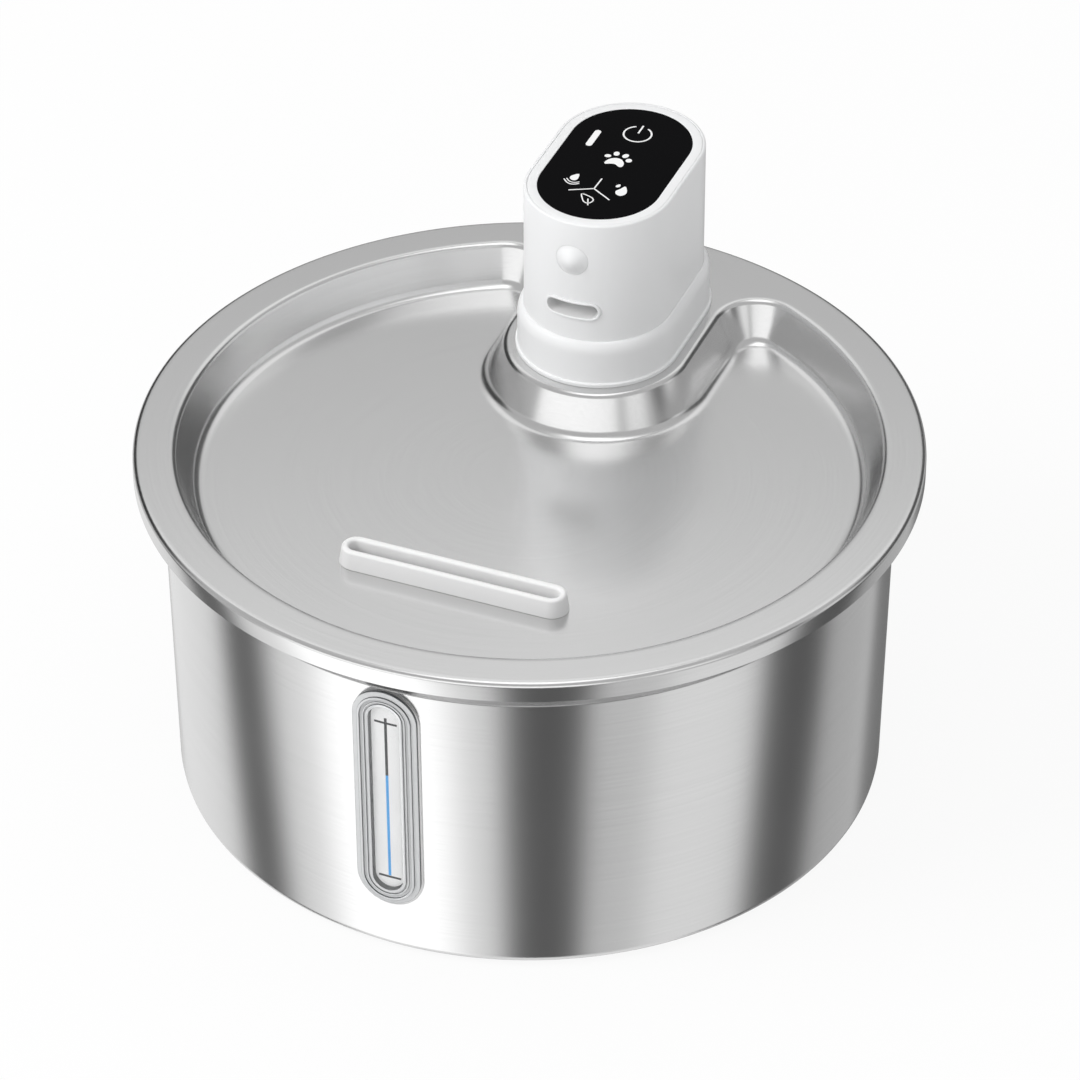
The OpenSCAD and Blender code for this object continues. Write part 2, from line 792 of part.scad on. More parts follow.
seal_rise = 4;

module riser_seals() {
    color("#2a2b2d") translate([0, riser_y, 0]) for (z = [motor_bay_z + seal_rise, deck_z])
        translate([0, 0, z + seal_r + seat_gap]) rotate_extrude()
            translate([riser_r + seat_gap + seal_r, 0]) circle(r = seal_r);
}

// Column: the sealed housing that hangs through the lid
boss_pin_r = 2.6;
boss_pin_l = 12;
pin_x = column_in_r - boss_pin_r - slide_gap * 2;
pin_y = half_straight + boss_pin_r;
lap_h = 3;
lap_t = column_t / 2;
lap_r = column_in_r + lap_t;
motor_seat_r = motor_r + seat_gap;

module at_pins() {
    for (x = [-pin_x, pin_x], y = [-pin_y, pin_y])
        translate([x, y, 0]) children();
}

module column_housing() {
    color("#f0f1f2") at_head() difference() {
        union() {
            difference() {
                union() {
                    racetrack(column_r, head_straight, wall_z, column_top_z);
                    racetrack(lap_r - seat_gap, head_straight, wall_z - lap_h, wall_z + overrun);
                }
                racetrack(column_in_r, head_straight, motor_bay_z, column_top_z + overrun);
                racetrack(column_in_r, head_straight, wall_z - lap_h - overrun, wall_z);
            }
            ring(motor_seat_r + wall_t, motor_seat_r, motor_bay_z - seat_gap, motor_z + motor_h / 2);
            at_riser() post(socket_r, motor_bay_z - seat_gap, motor_bay_z + seal_rise);
            intersection() {
                at_pins() translate([0, 0, column_top_z - boss_pin_l]) linear_extrude(height = boss_pin_l)
                    union() {
                        circle(r = boss_pin_r);
                        translate([-boss_pin_r, -boss_pin_r / 2]) square([2 * boss_pin_r, boss_pin_r]);
                    }
                racetrack(column_in_r + seat_gap, head_straight, wall_z, column_top_z);
            }
        }
        at_riser() post(riser_r + seat_gap, wall_z - overrun, motor_bay_z + 2 * seal_rise);
        at_pins() post(deck_screw_r + press_gap, column_top_z - boss_pin_l + wall_t, column_top_z + overrun);
    }
}

wire_hole_r = 2;

module column_deck() {
    color("#e9eaeb") at_head() difference() {
        union() {
            racetrack(column_r, head_straight, deck_z - deck_t, deck_z);
            at_board_posts() post(wire_hole_r, deck_z - seat_gap, board_z);
        }
        at_riser() post(riser_r + seat_gap, deck_z - deck_t - overrun, deck_z + overrun);
        translate([0, half_straight, 0]) post(wire_hole_r, deck_z - deck_t - overrun, deck_z + overrun);
        at_pins() post(deck_screw_r + slide_gap, deck_z - deck_t - overrun, deck_z + overrun);
    }
}

module at_board_posts() {
    for (x = [-cell_r, cell_r], y = [-half_straight / 2, half_straight / 2])
        translate([x, y, 0]) children();
}

module deck_seal() {
    color("#3a3b3d") at_head() difference() {
        racetrack(column_r - slide_gap, head_straight, column_top_z, column_top_z + deck_seal_t);
        racetrack(column_in_r, head_straight, column_top_z - overrun, column_top_z + deck_seal_t + overrun);
    }
}

screw_head_r = 2.4;
screw_head_t = 1.5;
deck_screw_l = 9;

module deck_screws() {
    color("#9da1a5") at_head() at_pins() difference() {
        union() {
            post(screw_head_r, deck_z, deck_z + screw_head_t);
            post(deck_screw_r, deck_z - deck_screw_l, deck_z + seat_gap);
        }
        translate([0, 0, deck_z + screw_head_t / 2]) for (turn = [0, quarter])
            rotate([0, 0, turn]) translate([-screw_head_r / 2, -slide_gap * 2, 0])
                cube([screw_head_r, slide_gap * 4, screw_head_t]);
    }
}

board_r = column_in_r - slide_gap;
board_front = 3;
chip_w = 7;
chip_h = 1.2;
coil_r = 2.4;
coil_h = 3;

module main_board() {
    color("#1f6b3c") at_head() {
        translate([0, 0, board_z]) linear_extrude(height = board_t) intersection() {
            racetrack2d(board_r, head_straight);
            translate([-board_r, nozzle_y - head_y + board_front]) square([2 * board_r, 2 * rear_y]);
        }
        translate([-chip_w / 2, -chip_w, board_z + board_t - seat_gap]) cube([chip_w, chip_w, chip_h]);
        translate([chip_w, half_straight / 2, 0])
            post(coil_r, board_z + board_t - seat_gap, board_z + board_t + coil_h);
    }
}

module charge_port() {
    skin = 0.35;
    tongue_h = 0.7;
    mouth_y = half_straight + shell_in_r - loose_gap;
    inner_w = port_w - 2 * skin;
    inner_h = port_h - 2 * skin;
    color("#c3c6c9") at_head() {
        difference() {
            band_cut(port_w, port_h, port_z, mouth_y - port_l, mouth_y);
            band_cut(inner_w, inner_h, port_z, mouth_y - port_l + 2 * skin, mouth_y + overrun);
        }
        translate([-port_w / 4, mouth_y - port_l + skin, port_z - tongue_h / 2])
            cube([port_w / 2, port_l - 4 * skin, tongue_h]);
    }
}

module port_cover() {
    plug_w = port_w - port_cut_gap;
    plug_h = port_h - port_cut_gap;
    plug_l = shell_t - cover_t + slide_gap;
    cover_in_r = head_r - cover_t + slide_gap;
    color("#e6e8e9") at_head() {
        intersection() {
            union() {
                band_cut(cover_w, cover_h, port_z, half_straight, rear_y + overrun);
                translate([-hinge_l / 2, half_straight, port_z]) cube([hinge_l, head_r, cover_h / 2]);
            }
            difference() {
                racetrack(head_r, head_straight, port_z - cover_h, hinge_z);
                racetrack(cover_in_r, head_straight, port_z - 2 * cover_h, port_z + 2 * cover_h);
            }
        }
        translate([-hinge_l / 2, hinge_y, hinge_z]) rotate([0, quarter, 0])
            cylinder(r = hinge_r, h = hinge_l);
        band_cut(plug_w, plug_h, port_z, half_straight + shell_in_r - slide_gap,
            half_straight + shell_in_r + plug_l + slide_gap);
    }
}

// Battery and motor inside the column
module cell_holder() {
    half_x = cell_r + slide_gap + holder_wall;
    y0 = cell_front_y - cell_r - slide_gap;
    span = cell_rear_y + cell_r + slide_gap - y0;
    color("#3b3e42") translate([-half_x, y0, 0]) {
        for (z = [holder_z, holder_top_z])
            translate([0, 0, z]) cube([2 * half_x, span, holder_t]);
        for (x = [0, 2 * half_x - holder_wall])
            translate([x, 0, holder_z]) cube([holder_wall, span, holder_top_z + holder_t - holder_z]);
    }
}

module battery_cell(y) {
    cap_r = 3;
    cap_h = 1.5;
    edge = 0.8;
    translate([0, y, 0]) rotate_extrude() polygon([
        [0, cell_z], [cell_r - edge, cell_z], [cell_r, cell_z + edge],
        [cell_r, cell_top_z - cap_h - edge], [cell_r - edge, cell_top_z - cap_h],
        [cap_r, cell_top_z - cap_h], [cap_r, cell_top_z], [0, cell_top_z]
    ]);
}

module battery_cell_front() {
    color("#3f74b5") battery_cell(cell_front_y);
}

module battery_cell_rear() {
    color("#3f74b5") battery_cell(cell_rear_y);
}

motor_shaft_r = 0.75;
motor_shaft_l = 7;

module motor_can() {
    edge = 0.8;
    color("#9a9ea3") at_head() difference() {
        rotate_extrude() polygon([
            [0, motor_z], [motor_r - edge, motor_z], [motor_r, motor_z + edge],
            [motor_r, motor_z + motor_h - edge], [motor_r - edge, motor_z + motor_h], [0, motor_z + motor_h]
        ]);
        post(motor_shaft_r + seat_gap, motor_z - overrun, motor_z + motor_shaft_l);
    }
}

module motor_shaft() {
    color("#c9ccd0") at_head() post(motor_shaft_r, drive_z, motor_z + motor_shaft_l - loose_gap);
}

drive_r = 10;
magnet_r = 8.8;
hub_r = 2.6;

module drive_magnet() {
    color("#55585c") at_head() ring(drive_r, motor_shaft_r + press_gap, drive_z, drive_z + magnet_h);
}

// Pump case, plate, volute and impeller
module at_slits(from, radius) {
    for (i = [0:slit_count - 1])
        rotate([0, 0, from + (i + 1 / 2) * half_turn / slit_count]) translate([radius, 0, 0]) children();
}

slit_margin = 3;

module slit(z0, z1) {
    translate([-column_t, -slit_w / 2, z0 + slit_margin])
        cube([3 * column_t, slit_w, z1 - z0 - 2 * slit_margin]);
}

module pump_case() {
    plate_ledge_r = column_in_r - plate_ledge_t;
    color("#eceeef") at_head() difference() {
        union() {
            difference() {
                racetrack(column_r, head_straight, case_z, wall_z);
                racetrack(column_in_r, head_straight, bay_z, wall_z + overrun);
                racetrack(lap_r, head_straight, wall_z - lap_h - slide_gap, wall_z + overrun);
            }
            difference() {
                racetrack(column_in_r + seat_gap, head_straight, plate_ledge_z, plate_z);
                racetrack(plate_ledge_r, head_straight, plate_ledge_z - overrun, plate_z + overrun);
            }
        }
        translate([-column_r - overrun, -half_straight - column_r - overrun, bay_z])
            cube([2 * (column_r + overrun), column_r + overrun, plate_ledge_z - bay_z]);
        translate([0, half_straight, 0]) at_slits(0, column_in_r) slit(bay_z, plate_ledge_z);
    }
}

inlet_r = 6.5;
spoke_w = 1.6;
plate_hub_r = 2.2;

module pump_plate() {
    color("#dfe2e4") at_head() difference() {
        union() {
            difference() {
                racetrack(column_in_r - slide_gap, head_straight, plate_z, chamber_z);
                post(inlet_r, plate_z - overrun, chamber_z + overrun);
            }
            post(plate_hub_r, plate_z, chamber_z);
            for (turn = [0, quarter])
                rotate([0, 0, turn]) translate([-inlet_r - seat_gap, -spoke_w / 2, plate_z])
                    cube([2 * (inlet_r + seat_gap), spoke_w, plate_t]);
        }
        post(shaft_r + press_gap, plate_z - overrun, chamber_z + overrun);
    }
}

volute_gap = 1.2;
volute_t = 1.5;
duct_w = 5.8;

module volute() {
    inner_r = impeller_r + volute_gap;
    top_z = wall_z - slide_gap;
    duct_l = head_y - riser_y;
    color("#d5d9dc") at_head() difference() {
        union() {
            post(inner_r + volute_t, chamber_z, top_z);
            translate([-duct_w / 2 - volute_t, -duct_l, chamber_z])
                cube([duct_w + 2 * volute_t, duct_l, top_z - chamber_z]);
            translate([0, -duct_l, 0]) post(socket_r, chamber_z, top_z);
        }
        post(inner_r, chamber_z - overrun, top_z + overrun);
        translate([-duct_w / 2, -duct_l, chamber_z + volute_t])
            cube([duct_w, duct_l, wall_z - volute_socket - chamber_z - volute_t]);
        translate([0, -duct_l, 0]) {
            post(riser_r - riser_t, chamber_z + volute_t, top_z + overrun);
            post(riser_r + seat_gap, wall_z - volute_socket, top_z + overrun);
        }
    }
}

module impeller_shaft() {
    color("#e8e9ea") at_head() post(shaft_r, plate_z, wall_z - loose_gap);
}

blade_t = 1.2;
disc_t = 0.8;
blade_z = chamber_z + 2 * loose_gap;
disc_z = blade_z + blade_h;
cup_z = disc_z + disc_t;
cup_t = 0.8;

module impeller_wheel() {
    cup_r = magnet_r + slide_gap + cup_t;
    blade_in_r = 2 * shaft_r;
    color("#f0c24a") at_head() difference() {
        union() {
            post(hub_r, blade_z - loose_gap, cup_z + magnet_h);
            post(impeller_r, disc_z, cup_z);
            ring(cup_r, cup_r - cup_t, cup_z - seat_gap, cup_z + magnet_h);
            for (i = [0:blade_count - 1])
                rotate([0, 0, i * 2 * half_turn / blade_count])
                    translate([blade_in_r, -blade_t / 2, blade_z])
                        cube([impeller_r - blade_in_r - blade_t / 2, blade_t, blade_h + seat_gap]);
        }
        post(shaft_r + seat_gap, blade_z - overrun, cup_z + magnet_h + overrun);
    }
}

module impeller_magnet() {
    color("#4b4e52") at_head()
        ring(magnet_r, hub_r + seat_gap, cup_z + seat_gap, cup_z + magnet_h - seat_gap);
}

// Filter drawer, which slides out of the pump case's front
drawer_r = column_in_r - loose_gap;
drawer_wall_h = 4;
drawer_wall_t = 0.8;

module drawer_front2d() {
    intersection() {
        racetrack2d(column_r, head_straight);
        translate([-column_r, -half_straight - column_r - overrun]) square([2 * column_r,
            column_r + overrun - slide_gap]);
    }
}

module filter_drawer() {
    front_top_z = plate_ledge_z - slide_gap;
    wall_top_z = foam_z + drawer_wall_h;
    color("#e3e6e8") at_head() difference() {
        union() {
            racetrack(drawer_r, head_straight, drawer_z, drawer_z + drawer_t);
            difference() {
                racetrack(drawer_r, head_straight, drawer_z, wall_top_z);
                racetrack(drawer_r - drawer_wall_t, head_straight, drawer_z - overrun, wall_top_z + overrun);
            }
            translate([0, 0, drawer_z]) linear_extrude(height = front_top_z - drawer_z) difference() {
                drawer_front2d();
                racetrack2d(drawer_r - drawer_wall_t, head_straight);
            }
        }
        translate([0, -half_straight, 0]) at_slits(half_turn, column_in_r) slit(drawer_z, front_top_z);
    }
}

module foam_pad() {
    color("#38424d") at_head()
        racetrack(drawer_r - drawer_wall_t - loose_gap, head_straight, foam_z, cartridge_z);
}

module filter_cartridge() {
    cartridge_r = column_in_r - plate_ledge_t - drawer_wall_t - 2 * loose_gap;
    frame_w = 1.5;
    dish = 1;
    top_z = cartridge_z + cartridge_h - slide_gap;
    dish_z = top_z - dish;
    bars = 5;
    color("#f4f4f0") at_head() difference() {
        racetrack(cartridge_r, head_straight, cartridge_z, top_z);
        difference() {
            racetrack(cartridge_r - frame_w, head_straight, dish_z, top_z + overrun);
            for (i = [0:bars - 1])
                translate([0, (i - (bars - 1) / 2) * half_straight, top_z])
                    cube([2 * cartridge_r, frame_w, 2 * (dish + overrun)], center = true);
        }
    }
}

bowl();
foot_pads();
window_lens();
window_gasket();
window_clamp();
window_screws();
level_scale();
tray_lid();
drain_collar();
tower_shell();
skirt_ring();
top_bezel();
touch_panel();
touch_board();
sensor_lens();
motion_sensor();
sensor_board();
outlet_nozzle();
riser_tube();
riser_seals();
column_housing();
column_deck();
deck_seal();
deck_screws();
main_board();
charge_port();
cell_holder();
battery_cell_front();
battery_cell_rear();
motor_can();
pump_case();
pump_plate();
volute();
impeller_shaft();
motor_shaft();
drive_magnet();
impeller_wheel();
impeller_magnet();
filter_drawer();
foam_pad();
filter_cartridge();
port_cover();
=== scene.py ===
# Looks of a steel pet water fountain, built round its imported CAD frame. Metres, +Z up, the front faces -Y.
import json
import math

import bmesh
import bpy
from mathutils import Matrix, Vector


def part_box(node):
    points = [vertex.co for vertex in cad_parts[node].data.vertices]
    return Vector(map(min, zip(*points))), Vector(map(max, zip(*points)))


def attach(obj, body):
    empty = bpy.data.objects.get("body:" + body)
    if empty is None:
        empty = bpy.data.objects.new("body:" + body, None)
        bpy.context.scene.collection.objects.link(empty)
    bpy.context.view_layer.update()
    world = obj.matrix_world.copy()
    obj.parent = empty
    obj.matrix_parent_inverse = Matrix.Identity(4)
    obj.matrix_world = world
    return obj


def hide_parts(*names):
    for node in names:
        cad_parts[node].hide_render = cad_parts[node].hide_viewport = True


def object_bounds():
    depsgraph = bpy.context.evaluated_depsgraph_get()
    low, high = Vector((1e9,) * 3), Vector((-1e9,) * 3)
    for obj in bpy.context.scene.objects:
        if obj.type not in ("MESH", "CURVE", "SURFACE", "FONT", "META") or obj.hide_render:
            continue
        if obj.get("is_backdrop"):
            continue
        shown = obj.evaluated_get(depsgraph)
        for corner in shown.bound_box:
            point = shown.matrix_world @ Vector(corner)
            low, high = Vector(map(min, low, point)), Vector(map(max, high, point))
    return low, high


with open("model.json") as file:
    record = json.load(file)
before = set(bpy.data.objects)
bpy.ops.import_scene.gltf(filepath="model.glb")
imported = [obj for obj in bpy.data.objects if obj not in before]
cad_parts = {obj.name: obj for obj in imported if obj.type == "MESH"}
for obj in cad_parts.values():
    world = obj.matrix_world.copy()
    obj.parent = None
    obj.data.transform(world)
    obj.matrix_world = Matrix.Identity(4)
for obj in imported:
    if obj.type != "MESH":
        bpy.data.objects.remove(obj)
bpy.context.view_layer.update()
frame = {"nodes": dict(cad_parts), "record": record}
print("frame loaded:", len(frame["nodes"]), "nodes")

mm = 0.001
quarterTurn = math.pi / 2
halfTurn = math.pi
fullTurn = 2 * math.pi
upAxis = (0, 0, 1)

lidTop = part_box("tray_lid")[1].z / mm  # the tray's flat rim
lidRadius = round(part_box("tray_lid")[1].x / mm, 1)
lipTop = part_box("bowl")[1].z / mm
lipRadius = round(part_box("bowl")[1].x / mm, 1)
headLow, headHigh = [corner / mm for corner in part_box("tower_shell")]
headRadius = headHigh.x
headY = (headLow.y + headHigh.y) / 2
headStraight = (headHigh.y - headLow.y) - 2 * headRadius
headFront = headY - headStraight / 2  # the middle of the head's round front
headTop = headHigh.z


# Making pieces: profiles are (distance out, height) in millimetres, and a third number rounds that corner
def rounded(corners, closed=False, steps=5):
    points = []
    count = len(corners)
    for i, corner in enumerate(corners):
        radius = corner[2] if len(corner) > 2 else 0
        here = Vector(corner[:2])
        if not radius or (not closed and i in (0, count - 1)):
            points.append(here)
            continue
        before = (Vector(corners[i - 1][:2]) - here).normalized()
        after = (Vector(corners[(i + 1) % count][:2]) - here).normalized()
        half = before.angle(after) / 2
        centre = here + (before + after).normalized() * radius / math.sin(half)
        start = here + before * radius / math.tan(half) - centre
        sweep = start.angle_signed(here + after * radius / math.tan(half) - centre)
        points += [centre + Matrix.Rotation(-sweep * k / steps, 2) @ start for k in range(steps + 1)]
    return points


def layProfile(bm, points, place, closed=False):
    # a line of edges through the points, each set in its place
    verts = [bm.verts.new(place(p) * mm) for p in points]
    pairs = list(zip(verts, verts[1:])) + ([(verts[-1], verts[0])] if closed else [])
    return [bm.edges.new(pair) for pair in pairs]


def edgesOf(items):
    return [e for e in items if isinstance(e, bmesh.types.BMEdge)]


def vertsOf(items):
    return [v for v in items if isinstance(v, bmesh.types.BMVert)]


def endsAnd(edges):
    return list({v for e in edges for v in e.verts}) + edges


def swing(bm, edges, centre, angle, steps):
    # turns a line of edges about an upright axis, and gives back the new line
    out = bmesh.ops.spin(bm, geom=endsAnd(edges), cent=centre, axis=upAxis, angle=angle, steps=steps,
                         use_duplicate=False)
    return edgesOf(out["geom_last"])


def draw(bm, edges, way):
    # pulls a line of edges along a straight way, and gives back the new line
    out = bmesh.ops.extrude_edge_only(bm, edges=edges)["geom"]
    far = set(vertsOf(out))
    bmesh.ops.translate(bm, verts=list(far), vec=way)
    return [e for e in edgesOf(out) if len(e.link_faces) < 2 and far.issuperset(e.verts)]


def closeUp(bm, gap=0.002):
    # merges points that meet, and takes out edges without length
    bmesh.ops.remove_doubles(bm, verts=bm.verts, dist=gap * mm)
    bmesh.ops.dissolve_degenerate(bm, dist=gap * mm / 4, edges=bm.edges)


def turned(points, steps):
    # carries a profile right round the upright axis
    bm = bmesh.new()
    edges = layProfile(bm, points, lambda p: Vector((p[0], 0, p[1])))
    bmesh.ops.spin(bm, geom=endsAnd(edges), cent=(0, 0, 0), axis=upAxis, angle=fullTurn, steps=steps,
                   use_merge=True)
    closeUp(bm)
    bmesh.ops.recalc_face_normals(bm, faces=bm.faces)
    return bm


def racetrack(points, straight, steps, closed=True):
    # carries a profile round a stadium that lies long along Y
    bm = bmesh.new()
    half = straight / 2
    edges = layProfile(bm, points, lambda p: Vector((p[0], half, p[1])), closed)
    edges = swing(bm, edges, (0, half * mm, 0), halfTurn, steps)
    edges = draw(bm, edges, (0, -straight * mm, 0))
    edges = swing(bm, edges, (0, -half * mm, 0), halfTurn, steps)
    draw(bm, edges, (0, straight * mm, 0))
    closeUp(bm)
    bmesh.ops.recalc_face_normals(bm, faces=bm.faces)
    return bm


def move(bm, x=0, y=0, z=0, turn=0):
    bmesh.ops.rotate(bm, verts=bm.verts, cent=(0, 0, 0), matrix=Matrix.Rotation(turn, 3, "Z"))
    bmesh.ops.translate(bm, verts=bm.verts, vec=Vector((x, y, z)) * mm)
    return bm


def shadeSmooth(bm, sharp=38):
    # smooth faces, with a crisp line where two meet at more than so many degrees, or where a sheet ends
    for face in bm.faces:
        face.smooth = True
    for edge in bm.edges:
        edge.smooth = len(edge.link_faces) == 2 and edge.calc_face_angle(0) < math.radians(sharp)


def piece(name, bm, body, finish, nodes=(), sharp=38, more=()):
    # a finished piece that rides on a body and, where it says so, takes the place of CAD nodes
    shadeSmooth(bm, sharp)
    mesh = bpy.data.meshes.new(name)
    bm.to_mesh(mesh)
    bm.free()
    obj = bpy.data.objects.new(name, mesh)
    bpy.context.collection.objects.link(obj)
    for each in (finish, *more):
        mesh.materials.append(each)
    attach(obj, body)
    if nodes:
        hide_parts(*nodes)
    return obj


def carve(obj, cutters):
    # cuts solids out of a piece, one after another
    for bm in cutters:
        mesh = bpy.data.meshes.new("cutter")
        bm.to_mesh(mesh)
        bm.free()
        tool = bpy.data.objects.new("cutter", mesh)
        bpy.context.collection.objects.link(tool)
        cut = obj.modifiers.new("cut", "BOOLEAN")
        cut.operation = "DIFFERENCE"
        cut.solver = "EXACT"
        cut.object = tool
        bpy.context.view_layer.update()
        solid = bpy.data.meshes.new_from_object(obj.evaluated_get(bpy.context.evaluated_depsgraph_get()))
        obj.modifiers.clear()
        obj.data = solid
        bpy.data.objects.remove(tool)
    bm = bmesh.new()
    bm.from_mesh(obj.data)
    shadeSmooth(bm)
    bm.to_mesh(obj.data)
    bm.free()


def stadium(radius, straight, steps):
    # the points round a stadium that lies long along Y
    points = []
    for end in (1, -1):
        for k in range(steps + 1):
            angle = halfTurn * k / steps
            points.append(Vector((radius * math.cos(angle), straight / 2 + radius * math.sin(angle))) * end)
    return points


def pill(width, length, depth, steps=24):
    # a solid stadium, standing on z 0
    bm = bmesh.new()
    outline = stadium(width / 2, length - width, steps)
    face = bm.faces.new([bm.verts.new(Vector((*p, 0)) * mm) for p in outline])
    out = bmesh.ops.extrude_face_region(bm, geom=[face])["geom"]
    bmesh.ops.translate(bm, verts=vertsOf(out), vec=(0, 0, depth * mm))
    closeUp(bm)
    bmesh.ops.recalc_face_normals(bm, faces=bm.faces)
    return bm


def fromSpine(face, straight):
    # how far out of a stadium's middle line a face lies
    middle = face.calc_center_median() / mm
    return math.hypot(middle.x, max(abs(middle.y) - straight / 2, 0))


def lieForward(bm, y, z, across=False):
    # turns a solid that stands on z 0 so that it points to -Y, from y forwards, at height z
    if across:
        move(bm, turn=quarterTurn)
    bmesh.ops.rotate(bm, verts=bm.verts, cent=(0, 0, 0), matrix=Matrix.Rotation(quarterTurn, 3, "X"))
    return move(bm, y=y, z=z)


def divide(bm, longest, cuts):
    # parts the long edges, so that they can bend round a wall
    edges = [e for e in bm.edges if e.calc_length() > longest * mm]
    bmesh.ops.subdivide_edges(bm, edges=edges, cuts=cuts, use_grid_fill=True)


def bend(bm, height, radiusAt, centreY=0):
    # lays a flat shape (x across, y up, z outwards) on an upright round wall that faces the front
    for vert in bm.verts:
        x, up, out = vert.co / mm
        reach = math.sqrt((radiusAt(height + up) + out) ** 2 - x * x)
        vert.co = Vector((x, centreY - reach, height + up)) * mm
    return bm


def thicken(bm, depth):
    # gives flat shapes a thickness below their plane
    out = bmesh.ops.extrude_face_region(bm, geom=list(bm.faces), use_keep_orig=True)["geom"]
    bmesh.ops.translate(bm, verts=vertsOf(out), vec=(0, 0, -depth * mm))
    bmesh.ops.recalc_face_normals(bm, faces=bm.faces)
    return bm


def fill(bm, outline):
    # one flat face
    bm.faces.new([bm.verts.new(Vector((x, y, 0)) * mm) for x, y in outline])


def oval(bm, x, y, wide, high, tilt, steps=24):
    turn = Matrix.Rotation(math.radians(tilt), 2)
    angles = [fullTurn * k / steps for k in range(steps)]
    fill(bm, [Vector((x, y)) + turn @ Vector((wide * math.cos(a), high * math.sin(a))) for a in angles])


def smoothLoop(points, steps=5):
    # a closed curve through the points: each stretch looks at the point before it and the one after it
    spots = [Vector(p) for p in points]
    count = len(spots)
    curve = []
    for i in range(count):
        a, b, c, d = (spots[(i + k) % count] for k in (-1, 0, 1, 2))
        for k in range(steps):
            t = k / steps
            square = (2 * a - 5 * b + 4 * c - d) * t ** 2
            cube = (3 * b - a - 3 * c + d) * t ** 3
            curve.append(0.5 * (2 * b + (c - a) * t + square + cube))
    return curve


def smoothOpen(points, steps=5):
    # the same through points that have two ends
    loop = smoothLoop([points[0]] + points + [points[-1]], steps)
    return loop[steps:steps * len(points) + 1]


def ribbon(bm, points, width):
    # a flat strip along the points
    spots = [Vector(p) for p in points]
    left, right = [], []
    for i, spot in enumerate(spots):
        along = (spots[min(i + 1, len(spots) - 1)] - spots[max(i - 1, 0)]).normalized()
        side = Vector((-along.y, along.x)) * width / 2
        left.append(bm.verts.new(Vector((*(spot + side), 0)) * mm))
        right.append(bm.verts.new(Vector((*(spot - side), 0)) * mm))
    for i in range(len(spots) - 1):
        bm.faces.new((right[i], right[i + 1], left[i + 1], left[i]))


def bow(x, y, radius, start, end, steps=24):
    # the points of an arc, with its angles in degrees
    angles = [math.radians(start + (end - start) * k / steps) for k in range(steps + 1)]
    return [(x + radius * math.cos(a), y + radius * math.sin(a)) for a in angles]


# Finishes: the wrapper turns expressions on sockets into Math nodes, and node makes every other node
class Value:
    def __init__(self, tree, socket):
        self.tree = tree
        self.socket = socket

    def other(self, name):
        # another output of the same node
        return Value(self.tree, self.socket.node.outputs[name])

    def __add__(self, other):
        return maths("ADD", self, other)

    def __sub__(self, other):
        return maths("SUBTRACT", self, other)

    def __rsub__(self, other):
        return maths("SUBTRACT", other, self)

    def __mul__(self, other):
        return maths("MULTIPLY", self, other)

    __radd__ = __add__
    __rmul__ = __mul__


def connect(tree, target, inputs):
    for key, value in inputs.items():
        if isinstance(value, Value):
            tree.links.new(value.socket, target.inputs[key])
        else:
            target.inputs[key].default_value = value


def node(tree, kind, settings, inputs, output=0):
    made = tree.nodes.new(kind)
    for key, value in settings.items():
        setattr(made, key, value)
    connect(tree, made, inputs)
    return Value(tree, made.outputs[output])


def maths(operation, a, b=0.0):
    tree = a.tree if isinstance(a, Value) else b.tree
    return node(tree, "ShaderNodeMath", {"operation": operation}, {0: a, 1: b})


def mixColour(share, a, b):
    # a Mix node's colours are its inputs 6 and 7 and its output 2
    return node(share.tree, "ShaderNodeMix", {"data_type": "RGBA"}, {0: share, 6: (*a, 1), 7: (*b, 1)}, 2)


def noise(place, scale, detail):
    return node(place.tree, "ShaderNodeTexNoise", {}, {"Vector": place, "Scale": scale, "Detail": detail})


def relief(height, strength, depth):
    inputs = {"Strength": strength, "Distance": depth * mm, "Height": height}
    return node(height.tree, "ShaderNodeBump", {}, inputs)


def split(place):
    x = node(place.tree, "ShaderNodeSeparateXYZ", {}, {0: place}, "X")
    return x, x.other("Y"), x.other("Z")


def startFinish(name):
    material = bpy.data.materials.new(name)
    material.use_nodes = True
    tree = material.node_tree
    shader = next(n for n in tree.nodes if n.type == "BSDF_PRINCIPLED")
    place = node(tree, "ShaderNodeTexCoord", {}, {}, "Object")
    return material, tree, shader, place


moulding = {"cloudScale": 35.0, "cloudDetail": 3.0, "skinDetail": 2.0, "skinDepth": 0.1}


def moulded(name, colour, shade, roughness, spread=0.05, grain=1400.0, bump=0.02, **fixed):
    # an even moulding: faint clouding in its colour and gloss, and a fine skin
    material, tree, shader, place = startFinish(name)
    cloud = noise(place, moulding["cloudScale"], moulding["cloudDetail"])
    skin = noise(place, grain, moulding["skinDetail"])
    connect(tree, shader, {
        "Base Color": mixColour(cloud, colour, shade),
        "Roughness": roughness + (cloud - 0.5) * spread,
        "Normal": relief(skin, bump, moulding["skinDepth"]),
        **fixed,
    })
    return material


sheetLook = {"alongScale": 1.5, "acrossScale": 1800.0, "lineDetail": 3.0, "lineGloss": 0.03,
             "lineBump": 0.012, "lineDepth": 0.05, "lineShade": 0.93, "cloudScale": 18.0, "cloudDetail": 2.0,
             "cloudGloss": 0.04}


